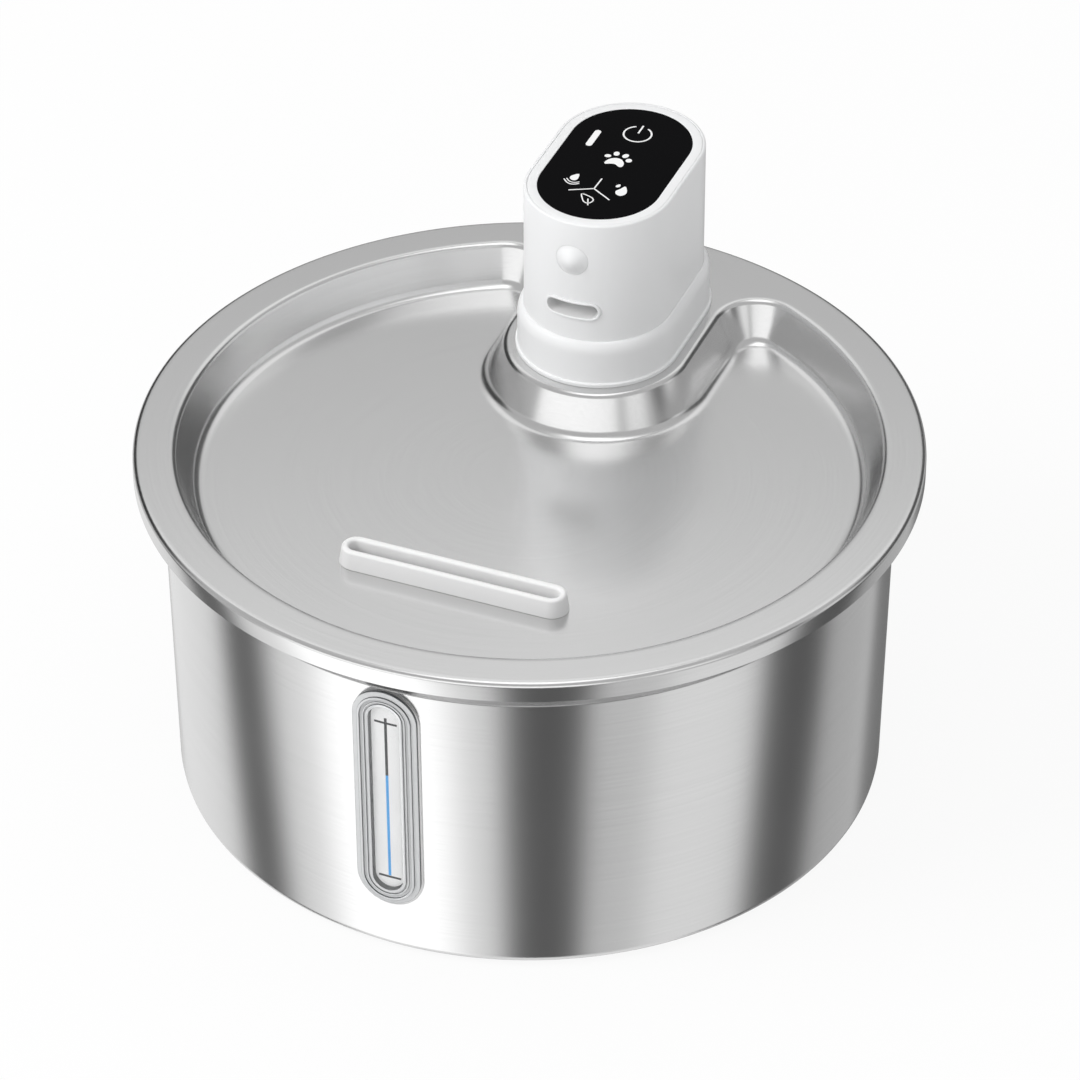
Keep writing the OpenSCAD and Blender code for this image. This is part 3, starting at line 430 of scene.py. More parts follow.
def steelSheet(name, colour, roughness):
    # stainless sheet: fine lines run round the bowl's axis, with a little clouding
    material, tree, shader, place = startFinish(name)
    x, y, z = split(place)
    across = sheetLook["acrossScale"]
    angle = maths("ARCTAN2", y, x)
    reach = maths("SQRT", x * x + y * y)
    lines = node(tree, "ShaderNodeCombineXYZ", {}, {
        0: angle * sheetLook["alongScale"],
        1: reach * across,
        2: z * across,
    })
    streak = noise(lines, 1.0, sheetLook["lineDetail"])
    cloud = noise(place, sheetLook["cloudScale"], sheetLook["cloudDetail"])
    gloss = (streak - 0.5) * sheetLook["lineGloss"] + (cloud - 0.5) * sheetLook["cloudGloss"]
    connect(tree, shader, {
        "Base Color": mixColour(streak, colour, [c * sheetLook["lineShade"] for c in colour]),
        "Metallic": 1.0,
        "Roughness": roughness + gloss,
        "Normal": relief(streak, sheetLook["lineBump"], sheetLook["lineDepth"]),
    })
    return material


# clear plastic: its painted shade grows as its faces turn from the eye, with a little swirl
clearLook = {"turnFrom": 0.42, "turnGain": 2.6, "swirl": 0.5, "swirlScale": 90.0, "swirlDetail": 3.0,
             "swirlGloss": 0.04, "edgeAlpha": 0.86, "index": 1.49}


def clearPlastic(name, colour, edge, roughness, body):
    # see-through where it faces the eye; painted shade where its steps turn away: its colour goes to the grey
    # edge colour, standing in for the dark that refraction gives
    material, tree, shader, place = startFinish(name)
    facing = node(tree, "ShaderNodeLayerWeight", {}, {"Blend": 0.5}, "Facing")
    swirl = noise(place, clearLook["swirlScale"], clearLook["swirlDetail"])
    paintedTurnShade = (facing - clearLook["turnFrom"]) * clearLook["turnGain"] + (swirl - 0.5) * clearLook["swirl"]
    share = maths("MINIMUM", maths("MAXIMUM", paintedTurnShade, 0.0), 1.0)
    connect(tree, shader, {
        "Base Color": mixColour(share, colour, edge),
        "Roughness": roughness + (swirl - 0.5) * clearLook["swirlGloss"],
        "Alpha": body + share * (clearLook["edgeAlpha"] - body),
        "IOR": clearLook["index"],
    })
    return material


darkGloss = {"spread": 0.02, "bump": 0.0, "Specular IOR Level": 0.02}
fleece = {"grain": 600.0, "bump": 0.6}
finishes = {  # the CAD nodes' slots first, then the finishes of scene pieces alone
    "steel": steelSheet("steelSheet", (0.745, 0.745, 0.745), 0.22),
    "screw_steel": steelSheet("plainSteel", (0.6, 0.61, 0.62), 0.3),
    "white_gloss": moulded("whiteShell", (0.86, 0.865, 0.87), (0.84, 0.845, 0.85), 0.36),
    "white_matte": moulded("whiteMatt", (0.82, 0.825, 0.83), (0.79, 0.795, 0.8), 0.5, bump=0.05),
    "black_gloss": moulded("blackPanel", (0.002, 0.002, 0.0025), (0.003, 0.003, 0.0035), 0.25, **darkGloss),
    # the clear finishes paint shade into their colour where their faces turn from the eye
    "clear": clearPlastic("clearPlastic", (0.86, 0.88, 0.89), (0.1, 0.105, 0.11), 0.07, 0.04),
    "soft_pale": moulded("paleSilicone", (0.86, 0.86, 0.86), (0.83, 0.83, 0.83), 0.48, bump=0.06),
    "soft_dark": moulded("darkSeal", (0.03, 0.03, 0.032), (0.04, 0.04, 0.042), 0.6, bump=0.1),
    "grey_matte": moulded("greyMoulding", (0.05, 0.053, 0.058), (0.06, 0.063, 0.068), 0.5),
    "board_green": moulded("boardGreen", (0.02, 0.13, 0.05), (0.03, 0.16, 0.07), 0.35, grain=500.0, bump=0.1),
    "cell_blue": moulded("cellSleeve", (0.04, 0.16, 0.42), (0.05, 0.18, 0.46), 0.3),
    "magnet_iron": moulded("magnetIron", (0.09, 0.09, 0.1), (0.07, 0.07, 0.08), 0.45, Metallic=0.8),
    "yellow_plastic": moulded("wheelPlastic", (0.78, 0.5, 0.08), (0.74, 0.47, 0.07), 0.42),
    "foam_grey": moulded("openFoam", (0.05, 0.065, 0.09), (0.03, 0.04, 0.06), 0.9, grain=420.0, bump=0.9),
    "filter_white": moulded("filterFleece", (0.82, 0.82, 0.78), (0.76, 0.76, 0.72), 0.85, **fleece),
    "iconWhite": moulded("iconWhite", (0.93, 0.93, 0.93), (0.9, 0.9, 0.9), 0.5, bump=0.0),
    # the lens frame's clear finish, too, paints shade into its colour where its faces turn from the eye
    "clearFrame": clearPlastic("clearFrame", (0.88, 0.89, 0.9), (0.12, 0.125, 0.13), 0.12, 0.62),
    # a dark grey for the lens's steep steps: painted shade standing in for the dark that refraction gives them
    "clearEdgePaintedShade": moulded("clearEdgePaintedShade", (0.11, 0.115, 0.12), (0.07, 0.075, 0.08), 0.15, bump=0.0),
    # a light grey for the inside of the outlet duct: painted shade for its dim inside
    "outletPaintedShade": moulded("outletPaintedShade", (0.8, 0.8, 0.8), (0.76, 0.76, 0.76), 0.5),
    "markBlack": moulded("markBlack", (0.012, 0.012, 0.014), (0.018, 0.018, 0.02), 0.5, bump=0.0),
    "markBlue": moulded("markBlue", (0.05, 0.36, 0.8), (0.06, 0.4, 0.84), 0.5, bump=0.0),
}
weldGap = 0.001
slots = {part["node"]: part["material_slot"] for part in frame["record"]["subparts"]}
for name, obj in frame["nodes"].items():
    obj.data.materials.clear()
    obj.data.materials.append(finishes[slots[name]])
    weld = obj.modifiers.new("weld", "WELD")
    weld.merge_threshold = weldGap * mm
print("finishes made:", len(finishes))

# The bowl: one closed profile, turned, with the window's hole cut through it
bowl = {"bodyTop": 93.0, "bodyRadius": 102.6, "draft": 1.6, "baseZ": 1.0, "baseRound": 3.0, "sheet": 0.8,
        "crease": 0.35, "flareRound": 1.0, "hem": 1.8, "hemDrop": 1.2, "hemRound": 0.5, "hemFootRound": 0.4,
        "pushRadius": 30.0, "pushHeight": 1.0, "pushSlope": 2.0, "pushRound": 1.5, "steps": 256}
window = {"width": 18.8, "height": 74.2, "drop": 0.3, "wall": 3.0, "panel": 9.0, "holeRoom": 0.6,
          "cutFrom": 60.0}
window["z"] = bowl["bodyTop"] - window["drop"] - window["height"] / 2


def bowlProfile():
    base, floor, top = bowl["baseZ"], bowl["baseZ"] + bowl["sheet"], bowl["bodyTop"]
    outer, inner = bowl["bodyRadius"], bowl["bodyRadius"] - bowl["sheet"]
    push, pushFoot = bowl["pushRadius"], bowl["pushRadius"] + bowl["pushSlope"]
    hemIn, hemFoot = lipRadius - bowl["hem"], lipTop - bowl["hemDrop"]
    draft, crease, rise, soft = bowl["draft"], bowl["crease"], bowl["pushHeight"], bowl["pushRound"]
    outside = [
        (0, base + rise),
        (push, base + rise, soft),
        (pushFoot, base, soft),
        (outer - draft, base, bowl["baseRound"]),
        (outer, top - crease),
        (outer - crease, top),
        (outer + crease, top + crease),
        (lipRadius, hemFoot, bowl["hemRound"]),
        (lipRadius, lipTop),
    ]
    inside = [
        (hemIn, lipTop),
        (hemIn, hemFoot, bowl["hemFootRound"]),
        (inner, top, bowl["flareRound"]),
        (inner - draft, floor, bowl["baseRound"] - bowl["sheet"]),
        (pushFoot, floor, soft),
        (push, floor + rise, soft),
        (0, floor + rise),
    ]
    return rounded(outside) + rounded(inside)


bowlBody = turned(bowlProfile(), bowl["steps"])
bowlPiece = piece("bowlShell", bowlBody, "bowl_base", finishes["steel"], ["bowl"])
holeWidth = window["panel"] + 2 * window["wall"] + window["holeRoom"]
holeHeight = window["height"] - window["width"] + holeWidth
windowHole = pill(holeWidth, holeHeight, lipRadius - window["cutFrom"])
carve(bowlPiece, [lieForward(windowHole, -window["cutFrom"], window["z"])])

straightZ = bowl["baseZ"] + bowl["baseRound"]  # above this the wall is straight


def wallRadius(z):
    return bowl["bodyRadius"] - bowl["draft"] * (bowl["bodyTop"] - z) / (bowl["bodyTop"] - straightZ)


feet = {"radius": 7.0, "height": 1.0, "edge": 0.3, "ring": 82.0, "count": 4, "steps": 64}
footPad = rounded([
    (0, 0),
    (feet["radius"], 0, feet["edge"]),
    (feet["radius"], feet["height"]),
    (0, feet["height"]),
])
for i in range(feet["count"]):
    angle = fullTurn * (i + 0.5) / feet["count"]
    pad = turned(footPad, feet["steps"])
    move(pad, feet["ring"] * math.cos(angle), feet["ring"] * math.sin(angle))
    first = i == 0  # the first pad stands in for the node, which holds them all
    piece(f"footPad{i + 1}", pad, "bowl_base", finishes["soft_pale"],
          ["foot_pads"] if first else ())
print("bowl made")

# The level window: stepped rings of clear plastic, laid on the wall, with a printed scale behind them
lens = {"seat": 0.65, "face": 1.55, "outerStep": 0.6, "innerStep": 0.3, "edge": 1.5, "groove": 0.8,
        "reach": 3.8, "pocket": 0.3, "soft": 0.22, "slitStart": 0.9, "slitEnd": 1.3, "slitDrop": 0.1,
        "steep": 0.6, "slack": 0.02, "steps": 28}
spine = window["height"] - window["width"]


def lensProfile():
    half, panel = window["width"] / 2, window["panel"] / 2
    body = panel + window["wall"]
    face, soft, fine = lens["face"], lens["soft"], lens["soft"] / 2
    outer, inner, slitZ = face + lens["outerStep"], face + lens["innerStep"], face - lens["slitDrop"]
    slitIn, slitOut = panel + lens["slitStart"], panel + lens["slitEnd"]
    ridge = half - lens["edge"]
    ridgeIn, second = ridge - lens["groove"], ridge - 2 * lens["groove"]
    across = [panel * k / 3 for k in range(3)]  # extra points, so that the panel can bend round the wall
    return rounded([
        *((x, face) for x in across),
        (panel, face, fine), (panel, inner, fine),
        (slitIn, inner, fine), (slitIn, slitZ, fine), (slitOut, slitZ, fine), (slitOut, inner, fine),
        (second, inner, fine), (second, face, fine),
        (ridgeIn, face, fine), (ridgeIn, outer, soft), (ridge, outer, soft), (ridge, face, fine),
        (half, face, soft), (half, lens["seat"]), (body, lens["seat"]), (body, -lens["reach"]),
        (panel, -lens["reach"]), (panel, lens["pocket"]),
        *((x, lens["pocket"]) for x in reversed(across)),
    ], steps=3)


lensRings = racetrack(lensProfile(), spine, lens["steps"], closed=False)
# the steep step faces of the frame take that dark grey, which is painted shade; the other frame faces take the
# clear frame finish
for face in lensRings.faces:
    if fromSpine(face, spine) > window["panel"] / 2 + lens["slack"]:
        steep = abs(face.normal.z) < lens["steep"] and face.calc_center_median().z > lens["seat"] * mm
        face.material_index = 2 if steep else 1  # clearEdgePaintedShade or clearFrame
piece("windowLens", bend(lensRings, window["z"], wallRadius), "bowl_base", finishes["clear"], ["window_lens"],
      more=(finishes["clearFrame"], finishes["clearEdgePaintedShade"]))

plate = {"front": 0.25, "sheet": 0.5, "bends": (0, 1.4, 2.9, 4.3), "ink": 0.03, "steps": 20}
plateBack = plate["front"] - plate["sheet"]
plateProfile = [Vector((x, plate["front"])) for x in plate["bends"]]
plateProfile += [Vector((plate["bends"][-1], plateBack)), Vector((0, plateBack))]
scalePlate = racetrack(plateProfile, spine, plate["steps"], closed=False)
piece("scalePlate", bend(scalePlate, window["z"], wallRadius), "bowl_base", finishes["iconWhite"],
      ["level_scale"])
marks = {"top": 83.1, "change": 63.1, "foot": 27.5, "line": 0.8, "steps": 8,
         "ticks": (81.4, 27.0), "tickHalf": 3.3, "tick": 0.7}


def markLine(name, lines, width, finish):
    # strips of ink on the plate, each along a start and an end, parted so that they bend with the wall
    bm = bmesh.new()
    foot = Vector((0, window["z"]))
    for start, end in lines:
        shares = [k / marks["steps"] for k in range(marks["steps"] + 1)]
        ribbon(bm, [Vector(start).lerp(Vector(end), share) - foot for share in shares], width)
    thicken(bm, plate["ink"])
    bmesh.ops.translate(bm, verts=bm.verts, vec=(0, 0, (plate["front"] + plate["ink"]) * mm))
    piece(name, bend(bm, window["z"], wallRadius), "bowl_base", finish)


upperLine = [((0, marks["change"]), (0, marks["top"]))]
lowerLine = [((0, marks["foot"]), (0, marks["change"]))]
tickLines = [((-marks["tickHalf"], z), (marks["tickHalf"], z)) for z in marks["ticks"]]
markLine("levelLineUpper", upperLine, marks["line"], finishes["markBlack"])
markLine("levelLineLower", lowerLine, marks["line"], finishes["markBlue"])
markLine("levelTicks", tickLines, marks["tick"], finishes["markBlack"])
print("window made")

# The tray lid: the wall's profile runs round well and boss, then the flats are filled in and thickened
tray = {"rim": 11.8, "depth": 12.0, "run": 5.0, "rimRound": 2.0, "wellRound": 3.5, "sheet": 0.8,
        "boss": 27.04, "corner": 12.4, "edgeRound": 1.5, "edgeDrop": 5.8, "support": 0.7, "openingRadius": 19.8,
        "slotStraight": 57.6, "slotHalf": 3.75, "slotFront": 54.9, "openingSteps": 32, "level": 0.002}
wellRadius = lidRadius - tray["rim"]
cornerX = tray["boss"] + tray["corner"]
cornerY = math.sqrt((wellRadius - tray["corner"]) ** 2 - cornerX ** 2)
cornerAngle = math.atan2(cornerY, cornerX)
trayFloor = lidTop - tray["depth"]


def trayWall(bm):
    lean = math.atan2(tray["depth"], tray["run"])
    rimStart = tray["rimRound"] * math.tan(lean / 2) + tray["support"]
    footEnd = tray["wellRound"] * math.tan(lean / 2) + tray["support"]
    wall = rounded([
        (-rimStart, 0),
        (0, 0, tray["rimRound"]),
        (tray["run"], -tray["depth"], tray["wellRound"]),
        (tray["run"] + footEnd, -tray["depth"]),
    ], steps=8)
    edges = layProfile(bm, wall, lambda p: Vector((tray["boss"] + p[0], headFront, lidTop + p[1])))
    rise = Vector((0, (cornerY - headFront) * mm, 0))
    cornerTurn = halfTurn - cornerAngle
    corners = [Vector((side * cornerX, cornerY, 0)) * mm for side in (1, -1)]
    edges = draw(bm, edges, rise)
    edges = swing(bm, edges, corners[0], -cornerTurn, steps=24)
    edges = swing(bm, edges, (0, 0, 0), -(halfTurn + 2 * cornerAngle), steps=200)
    edges = swing(bm, edges, corners[1], -cornerTurn, steps=24)
    edges = draw(bm, edges, -rise)
    swing(bm, edges, (0, headFront * mm, 0), halfTurn, steps=64)


def trayEdge(bm):
    lip = rounded([
        (lidRadius - tray["edgeRound"] - tray["support"], lidTop),
        (lidRadius, lidTop, tray["edgeRound"]),
        (lidRadius, lidTop - tray["edgeDrop"]),
    ], steps=8)
    swing(bm, layProfile(bm, lip, lambda p: Vector((p[0], 0, p[1]))), (0, 0, 0), fullTurn, steps=256)


def trayBody():
    bm = bmesh.new()
    trayWall(bm)
    trayEdge(bm)
    opening = stadium(tray["openingRadius"], headStraight, tray["openingSteps"])
    opening = [Vector((p.x, p.y + headY, lidTop)) for p in opening]
    slot = stadium(tray["slotHalf"], tray["slotStraight"], tray["openingSteps"])
    slot = [Vector((p.y, p.x - tray["slotFront"], trayFloor)) for p in slot]
    for ring in (opening, slot):
        layProfile(bm, ring, Vector, closed=True)
    closeUp(bm)
    for height in (lidTop, trayFloor):
        level = [e for e in bm.edges if len(e.link_faces) < 2
                 and all(abs(v.co.z / mm - height) < tray["level"] for v in e.verts)]
        bmesh.ops.triangle_fill(bm, use_beauty=True, use_dissolve=False, edges=level, normal=upAxis)
    bmesh.ops.recalc_face_normals(bm, faces=bm.faces)
    top = max(bm.faces, key=lambda f: f.calc_center_median().z)
    if top.normal.z < 0:
        bmesh.ops.reverse_faces(bm, faces=bm.faces)
    return bm


trayPiece = piece("trayLid", trayBody(), "lid", finishes["steel"], ["tray_lid"], sharp=50)
sheetMetal = trayPiece.modifiers.new("sheet", "SOLIDIFY")
sheetMetal.thickness = tray["sheet"] * mm
sheetMetal.offset = -1
print("tray lid made")

# The drain collar: a soft ring round the slot
collar = {"inside": 2.2, "height": 5.5, "wall": 1.9, "spread": 0.8, "neck": 3.7, "lip": 4.45, "lipDrop": 0.9,
          "lipSheet": 1.2, "lipRound": 0.2, "lipFootRound": 0.3, "footRound": 0.15, "topRound": 0.85,
          "steps": 20}
lipZ = trayFloor - collar["lipDrop"]
lipFoot = lipZ - collar["lipSheet"]
collarOut = collar["inside"] + collar["wall"]
collarTop = trayFloor + collar["height"]
collarRing = racetrack(rounded([
    (collar["inside"], lipFoot, collar["lipRound"]),
    (collar["lip"], lipFoot, collar["lipFootRound"]),
    (collar["lip"], lipZ, collar["lipRound"]),
    (collar["neck"], lipZ),
    (collar["neck"], trayFloor),
    (collarOut + collar["spread"], trayFloor, collar["footRound"]),
    (collarOut, collarTop, collar["topRound"]),
    (collar["inside"], collarTop, collar["topRound"]),
], closed=True), tray["slotStraight"], collar["steps"])
move(collarRing, turn=quarterTurn)
piece("drainRing", move(collarRing, y=-tray["slotFront"]), "lid", finishes["soft_pale"], ["drain_collar"])
print("drain collar made")

# The head of the pump unit: shell, skirt, bezel and touch panel are one stadium in plan
head = {"wall": 2.0, "edge": 0.6, "seam": 0.95, "seamRound": 0.12, "gap": 0.05, "cutIn": 12.0,
        "cutDepth": 20.0, "steps": 48}
bezel = {"width": 2.8, "ledge": 1.5, "ledgeWidth": 1.8, "outerRound": 0.25, "innerRound": 0.15}
touch = {"drop": 0.1, "thickness": 2.0, "ink": 0.03}
outlet = {"rise": 24.3, "width": 15.2, "height": 4.4, "wall": 0.8, "proud": 0.5, "back": 7.5, "soft": 0.3,
          "slack": 0.02, "steps": 20}
sensor = {"rise": 40.8, "radius": 4.75, "proud": 2.0, "room": 0.02, "fall": 1.6, "rings": 12, "steps": 64}
port = {"rise": 1.6, "width": 13.9, "height": 8.1}

innerRadius = headRadius - head["wall"]
bezelRadius = headRadius - head["seam"]
touchRadius = bezelRadius - bezel["width"] - head["gap"]
panelTop = headTop - touch["drop"]
panelZ = panelTop - touch["thickness"]
ledgeZ = panelZ - bezel["ledge"]
outletZ = lidTop + outlet["rise"]
sensorZ = lidTop + sensor["rise"]
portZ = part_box("charge_port")[0].z / mm + port["rise"]

shellRing = racetrack(rounded([
    (innerRadius, headLow.z),
    (headRadius, headLow.z),
    (headRadius, headTop, head["edge"]),
    (bezelRadius + head["gap"], headTop, head["seamRound"]),
    (bezelRadius + head["gap"], ledgeZ),
    (innerRadius, ledgeZ),
], closed=True), headStraight, head["steps"])
shell = piece("headShell", move(shellRing, y=headY), "pump_unit", finishes["white_gloss"], ["tower_shell"])
outletHole = pill(outlet["height"] + 2 * (outlet["wall"] + head["gap"]),
                  outlet["width"] + 2 * (outlet["wall"] + head["gap"]), head["cutDepth"])
sensorCut = sensor["radius"] + head["gap"]
holeProfile = [(0, 0), (sensorCut, 0), (sensorCut, head["cutDepth"]), (0, head["cutDepth"])]
sensorHole = turned([Vector(p) for p in holeProfile], sensor["steps"])
portHole = pill(port["height"], port["width"], head["cutDepth"])
frontCut = headFront - headRadius + head["cutIn"]
carve(shell, [
    lieForward(outletHole, frontCut, outletZ, across=True),
    lieForward(sensorHole, frontCut, sensorZ),
    lieForward(portHole, headHigh.y + head["cutIn"], portZ, across=True),
])

skirt = {"wall": 1.8, "height": 10.2, "shoulder": 4.1, "shoulderSteps": 10, "foot": 1.2, "footLip": 0.6,
         "footRound": 0.15, "footTopRound": 0.3, "neckRound": 0.25}
skirtIn = headRadius + head["gap"]
skirtOut = skirtIn + skirt["wall"]
skirtTop = lidTop + skirt["height"]
footRadius = skirtOut + skirt["footLip"]
footTop = lidTop + skirt["foot"]
skirtProfile = rounded([
    (innerRadius, lidTop),
    (footRadius, lidTop, skirt["footRound"]),
    (footRadius, footTop, skirt["footTopRound"]),
    (skirtOut, footTop, skirt["neckRound"]),
    (skirtOut, skirtTop),
])
for k in range(skirt["shoulderSteps"]):
    angle = quarterTurn * (k + 1) / skirt["shoulderSteps"]
    skirtProfile.append(Vector((skirtIn + skirt["wall"] * math.cos(angle),
                                skirtTop + skirt["shoulder"] * math.sin(angle))))
skirtProfile += [Vector((skirtIn, headLow.z)), Vector((innerRadius, headLow.z))]
skirtBody = move(racetrack(skirtProfile, headStraight, head["steps"]), y=headY)
piece("headSkirt", skirtBody, "pump_unit", finishes["white_gloss"], ["skirt_ring"])

bezelRing = racetrack(rounded([
    (touchRadius - bezel["ledgeWidth"], ledgeZ),
    (bezelRadius, ledgeZ),
    (bezelRadius, headTop, bezel["outerRound"]),
    (touchRadius + head["gap"], headTop, bezel["innerRound"]),
    (touchRadius + head["gap"], panelZ),
    (touchRadius - bezel["ledgeWidth"], panelZ),
], closed=True), headStraight, head["steps"])
piece("headBezel", move(bezelRing, y=headY), "pump_unit", finishes["white_gloss"], ["top_bezel"])

panelSlab = pill(2 * touchRadius, headStraight + 2 * touchRadius, touch["thickness"], head["steps"])
piece("touchPanel", move(panelSlab, y=headY, z=panelZ), "pump_unit", finishes["black_gloss"], ["touch_panel"])

icons = {  # drawn: x across, y to the rear
    "bar": {"x": -10.6, "foot": 71.0, "top": 77.8, "half": 0.95},
    "power": {"x": 0.3, "y": 80.9, "radius": 4.0, "start": 116, "end": 422, "stem": (81.4, 85.6),
              "line": 0.5},
    "paw": [(-3.1, 63.9), (-2.4, 65.9), (-0.9, 67.0), (0.8, 66.9), (2.2, 65.3),
            (2.4, 63.5), (1.5, 63.1), (0.0, 64.0), (-1.5, 63.7), (-2.5, 63.2)],
    "toes": [  # x, y, half width, half height, tilt
        (-3.4, 67.3, 0.95, 0.8, 20),
        (-1.5, 69.2, 0.85, 1.05, 10),
        (1.3, 69.0, 0.85, 1.1, -20),
        (3.0, 67.1, 0.9, 0.95, -30),
    ],
    "divider": {"middle": (-0.8, 50.1), "ends": [(-0.6, 55.7), (-7.2, 46.8), (5.3, 46.3)], "line": 0.42},
    "drops": [
        [(-7.5, 55.5), (-6.9, 53.7), (-7.1, 52.3), (-8.1, 51.9), (-9.1, 52.6), (-9.1, 53.9)],
        [(7.0, 54.3), (8.2, 52.4), (8.4, 50.7), (7.4, 49.4), (5.9, 49.8), (5.3, 51.2), (6.0, 52.5)],
        [(5.3, 54.8), (5.6, 53.8), (5.0, 53.1), (4.4, 53.4), (4.5, 54.2)],
    ],
    "waves": [
        {"line": 0.38, "points": [(-10.5, 51.7), (-9.2, 50.4), (-7.9, 49.9), (-6.7, 50.2), (-5.6, 51.0)]},
        {"line": 0.34, "points": [(-9.9, 52.2), (-8.8, 51.2), (-7.8, 50.9), (-6.8, 51.1), (-5.9, 51.8)]},
    ],
    "leaf": [(-3.0, 46.4), (-1.0, 46.1), (0.7, 45.3), (1.2, 44.0), (0.4, 42.6), (-1.0, 42.9), (-2.1, 44.4)],
    "stalk": [(-0.5, 44.7), (0.1, 43.2), (0.7, 41.6)],
    "leafLine": 0.36,
}


def panelIcons():
    bm = bmesh.new()
    bar, power, divider = icons["bar"], icons["power"], icons["divider"]
    barTop = bow(bar["x"], bar["top"], bar["half"], 0, 180, 12)
    barFoot = bow(bar["x"], bar["foot"], bar["half"], 180, 360, 12)
    fill(bm, barTop + barFoot)
    ribbon(bm, bow(power["x"], power["y"], power["radius"], power["start"], power["end"]), power["line"])
    ribbon(bm, [(power["x"], y) for y in power["stem"]], power["line"])
    fill(bm, smoothLoop(icons["paw"]))
    for toe in icons["toes"]:
        oval(bm, *toe)
    for end in divider["ends"]:
        ribbon(bm, [divider["middle"], end], divider["line"])
    for drop in icons["drops"]:
        fill(bm, smoothLoop(drop))
    for wave in icons["waves"]:
        ribbon(bm, smoothOpen(wave["points"]), wave["line"])
    leaf = smoothLoop(icons["leaf"])
    ribbon(bm, leaf + leaf[:2], icons["leafLine"])
    ribbon(bm, icons["stalk"], icons["leafLine"])
    thicken(bm, touch["ink"])
    return move(bm, z=panelTop + touch["ink"])


piece("panelIcons", panelIcons(), "pump_unit", finishes["iconWhite"], sharp=60)


def onHead(bm, height):
    # lays a flat shape on the head's round front
    return bend(bm, height, lambda z: headRadius, headFront)


domeEdge = sensor["radius"] - sensor["room"]
dome = []
for k in range(sensor["rings"] + 1):
    share = k / sensor["rings"]
    dome.append(Vector((domeEdge * share, sensor["proud"] * (1 - share * share) ** sensor["fall"])))
dome += [Vector((domeEdge, -head["wall"])), Vector((0, -head["wall"]))]
domeBody = onHead(turned(dome, sensor["steps"]), sensorZ)
piece("sensorDome", domeBody, "pump_unit", finishes["white_gloss"], ["sensor_lens"])

ductIn = outlet["height"] / 2
ductOut = ductIn + outlet["wall"]
ductStraight = outlet["width"] - outlet["height"]
duct = racetrack(rounded([
    (0, -outlet["back"]),
    (ductOut, -outlet["back"]),
    (ductOut, outlet["proud"], outlet["soft"]),
    (ductIn, outlet["proud"], outlet["soft"]),
    (ductIn, outlet["wall"] - outlet["back"]),
    (0, outlet["wall"] - outlet["back"]),
]), ductStraight, outlet["steps"], closed=False)
# the faces deep inside the duct take that grey, which is painted shade where the slot's inside is dim
for face in duct.faces:
    deep = face.calc_center_median().z < (outlet["proud"] - outlet["soft"]) * mm
    if deep and fromSpine(face, ductStraight) < ductIn + outlet["slack"]:
        face.material_index = 1  # outletPaintedShade
divide(duct, longest=8, cuts=9)
move(duct, turn=quarterTurn)
piece("outletNozzle", onHead(duct, outletZ), "pump_unit", finishes["white_gloss"], ["outlet_nozzle"],
      more=(finishes["outletPaintedShade"],))
print("head made")

# Camera at the photograph's angle, a plain floor and soft lamps
view = {"azimuth": 22.02, "elevation": 36.734, "distance": 1.5892, "aim": (0.010155, -0.01433, 0.083697),
        "lens": 190.0, "sensor": 36.0, "shiftX": -0.0037, "shiftY": 0.002, "farthest": 20.0}
glow = {"world": 0.67, "worldShine": 0.56, "worldSeen": 1.0, "floorSeen": 0.9, "under": 0.93, "overhead": 1.7}
stage = {"floorSize": 8.0, "floorColour": (0.9, 0.9, 0.9, 1), "floorRoughness": 0.9, "underSize": 14.0,
         "underPlace": (0, 0, -3.6), "overheadSize": 1.3, "overheadPlace": (0, -0.1, 2.0),
         "highDistance": 1.6, "lowFoot": -3.5, "lowTop": -0.25}
white = (1, 1, 1, 1)
middle = (0, 0, 0.08)  # the middle of the fountain


def makeCamera():
    camera = bpy.data.objects.new("camera", bpy.data.cameras.new("camera"))
    bpy.context.collection.objects.link(camera)
    a, e = math.radians(view["azimuth"]), math.radians(view["elevation"])
    back = Vector((math.sin(a) * math.cos(e), -math.cos(a) * math.cos(e), math.sin(e)))
    camera.location = Vector(view["aim"]) + back * view["distance"]
    camera.rotation_euler = (-back).to_track_quat("-Z", "Y").to_euler()
    camera.data.sensor_width = view["sensor"]
    camera.data.lens = view["lens"]
    camera.data.shift_x = view["shiftX"]
    camera.data.shift_y = view["shiftY"]
    camera.data.clip_end = view["farthest"]
    bpy.context.scene.camera = camera


def areaLamp(name, place, aim, size, power):
    lamp = bpy.data.lights.new(name, "AREA")
    lamp.size = size
    lamp.energy = power
    obj = bpy.data.objects.new(name, lamp)
    bpy.context.collection.objects.link(obj)
    obj.location = place
    obj.rotation_euler = (Vector(aim) - Vector(place)).to_track_quat("-Z", "Y").to_euler()
    obj.visible_glossy = False


def makeWorld():
    world = bpy.data.worlds.new("studio")
    bpy.context.scene.world = world
    world.use_nodes = True
    tree = world.node_tree
    tree.nodes.clear()
    seen = node(tree, "ShaderNodeLightPath", {}, {}, "Is Camera Ray")
    soft, shine, plain = (node(tree, "ShaderNodeBackground", {}, {"Color": white, "Strength": glow[part]})
                          for part in ("world", "worldShine", "worldSeen"))
    mixed = node(tree, "ShaderNodeMixShader", {}, {0: seen.other("Is Glossy Ray"), 1: soft, 2: shine})
    mixed = node(tree, "ShaderNodeMixShader", {}, {0: seen, 1: mixed, 2: plain})
    connect(tree, tree.nodes.new("ShaderNodeOutputWorld"), {"Surface": mixed})


def sheet(name, material, width, height):
    bm = bmesh.new()
    bmesh.ops.create_grid(bm, x_segments=1, y_segments=1, size=0.5)
    bmesh.ops.scale(bm, verts=bm.verts, vec=(width, height, 1))
    mesh = bpy.data.meshes.new(name)
    bm.to_mesh(mesh)
    bm.free()
    obj = bpy.data.objects.new(name, mesh)
    bpy.context.collection.objects.link(obj)
    mesh.materials.append(material)
    obj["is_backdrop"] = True
    return obj


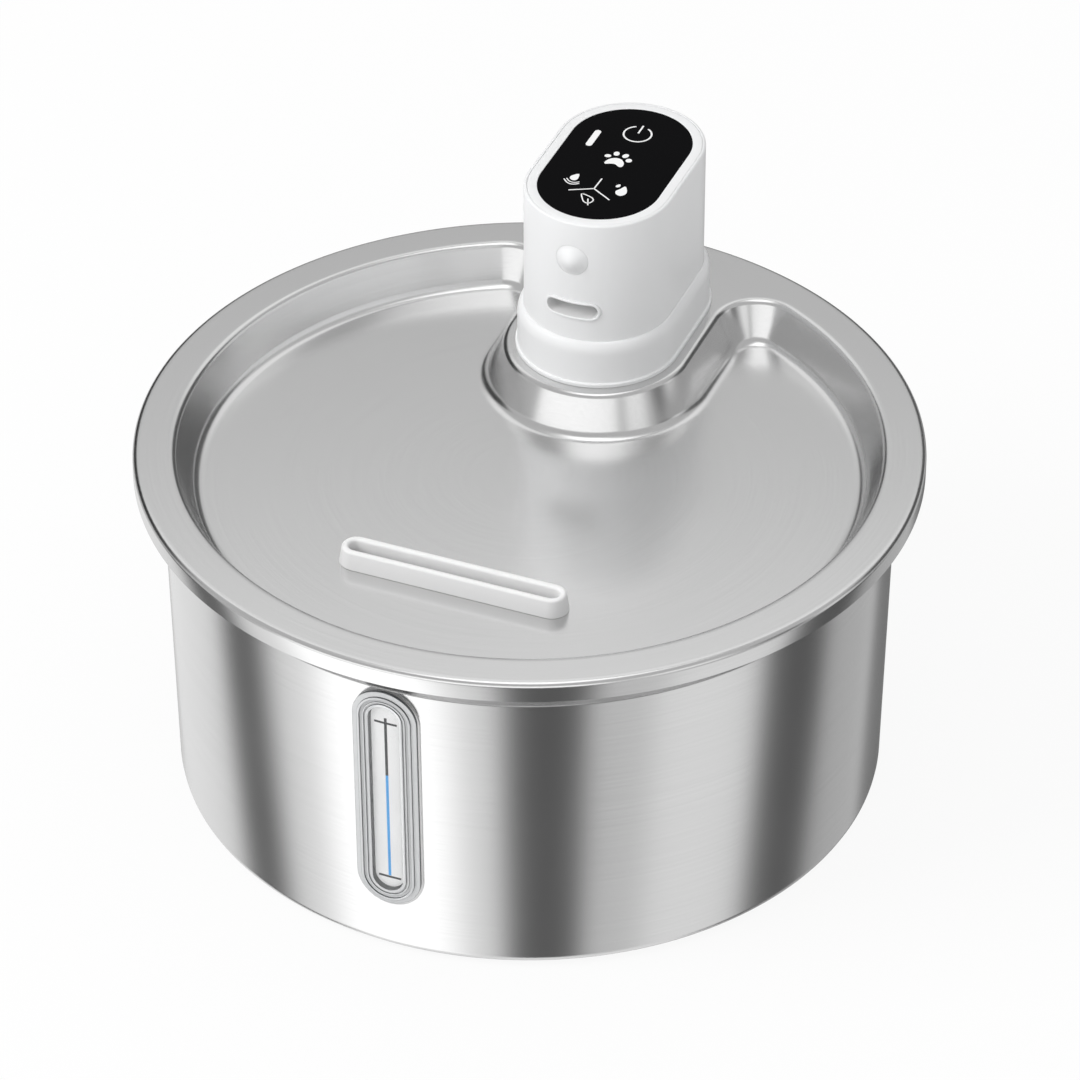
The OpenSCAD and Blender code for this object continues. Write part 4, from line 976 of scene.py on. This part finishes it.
def makeFloor():
    material, tree, shader, place = startFinish("paleFloor")
    connect(tree, shader, {
        "Base Color": stage["floorColour"],
        "Roughness": stage["floorRoughness"],
        "Specular IOR Level": 0.0,
    })
    seen = node(tree, "ShaderNodeLightPath", {}, {}, "Is Camera Ray")
    lit = node(tree, "ShaderNodeEmission", {}, {"Color": white, "Strength": 1.0})
    surface = Value(tree, shader.outputs[0])
    mixed = node(tree, "ShaderNodeMixShader", {}, {0: seen * glow["floorSeen"], 1: surface, 2: lit})
    output = next(n for n in tree.nodes if n.type == "OUTPUT_MATERIAL")
    connect(tree, output, {"Surface": mixed})
    floor = sheet("floor", material, stage["floorSize"], stage["floorSize"])
    floor.visible_glossy = False


def card(name, strength, width, height, place, aim=None, soft=0.5):
    # seen only in reflections on the steel; its sides fade out over a share of its half width
    material, tree, shader, spot = startFinish(name)
    across = split(spot)[0]
    inwards = 1.0 - maths("ABSOLUTE", across) * (2 / width)
    connect(tree, shader, {
        "Base Color": (0, 0, 0, 1),
        "Specular IOR Level": 0.0,
        "Emission Color": white,
        "Emission Strength": strength,
        "Alpha": maths("MINIMUM", inwards * (1 / soft), 1.0),
    })
    obj = sheet(name, material, width, height)
    obj.location = place
    if aim:
        obj.rotation_euler = (Vector(aim) - Vector(place)).to_track_quat("Z", "Y").to_euler()
    obj.visible_camera = obj.visible_diffuse = obj.visible_transmission = obj.visible_shadow = False


def uprightCard(name, strength, side, spread, low, high, distance, soft):
    # side is the angle round from the camera's own side, spread its half width, both in degrees
    angle = math.radians(view["azimuth"] + side)
    height = (low + high) / 2
    place = Vector((math.sin(angle), -math.cos(angle), 0)) * distance + Vector((0, 0, height))
    width = 2 * distance * math.tan(math.radians(spread))
    card(name, strength, width, high - low, place, (0, 0, height), soft)


lowCards = (  # name, strength, side, spread, distance, soft: seen in the bowl's wall
    ("bandLeft", 0.09, -101, 16, 1.6, 0.6),
    ("brightLeft", 1.55, -47, 27, 1.6, 0.4),
    ("bandMiddle", 0.1, 5, 17, 1.6, 0.4),
    ("bandMiddleSoft", 0.68, 30, 13, 1.7, 0.6),
    ("bandRight", 0.09, 92, 18, 1.6, 0.4),
    ("bandRightSoft", 0.52, 120, 22, 1.8, 0.4),
    ("bandEdge", 0.18, 155, 18, 1.6, 0.4),
    ("bandBack", 0.1, 184, 14, 1.7, 0.4),
)
highCards = (  # name, strength, side, spread, low, high, soft: seen in the walls of the tray
    ("frontGlow", 1.4, -23, 46, -0.05, 0.7, 0.2),
    ("frontSoft", 1.05, 40, 15, -0.05, 0.7, 0.5),
    ("frontStreak", 0.15, 68, 10, -0.1, 0.7, 0.6),
    ("sideGlow", 0.9, 85, 8, -0.05, 0.7, 0.6),
    ("sideRight", 0.1, 133, 40, 0.1, 1.2, 0.2),
    ("sideLeft", 0.04, -136, 36, 0.1, 1.2, 0.3),
    ("rearLow", 0.06, 180, 40, -0.05, 0.3, 0.5),
    ("rearGlow", 1.0, 180, 60, 1.35, 3.4, 0.5),
)

makeCamera()
makeWorld()
makeFloor()
card("underCard", glow["under"], stage["underSize"], stage["underSize"], stage["underPlace"], soft=0.02)
for name, strength, side, spread, distance, soft in lowCards:
    uprightCard(name, strength, side, spread, stage["lowFoot"], stage["lowTop"], distance, soft)
for name, strength, side, spread, low, high, soft in highCards:
    uprightCard(name, strength, side, spread, low, high, stage["highDistance"], soft)
card("overhead", glow["overhead"], stage["overheadSize"], stage["overheadSize"], stage["overheadPlace"])
areaLamp("keyLamp", (-1.3, -1.1, 1.5), middle, size=1.2, power=24.5)
areaLamp("topLamp", (0.1, 0.3, 1.9), middle, size=1.6, power=2.5)
areaLamp("fillLamp", (0.45, -1.5, 0.6), (0, 0, 0.1), size=0.9, power=2.5)
bpy.context.scene.view_settings.view_transform = "Standard"
print("stage made")

low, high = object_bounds()
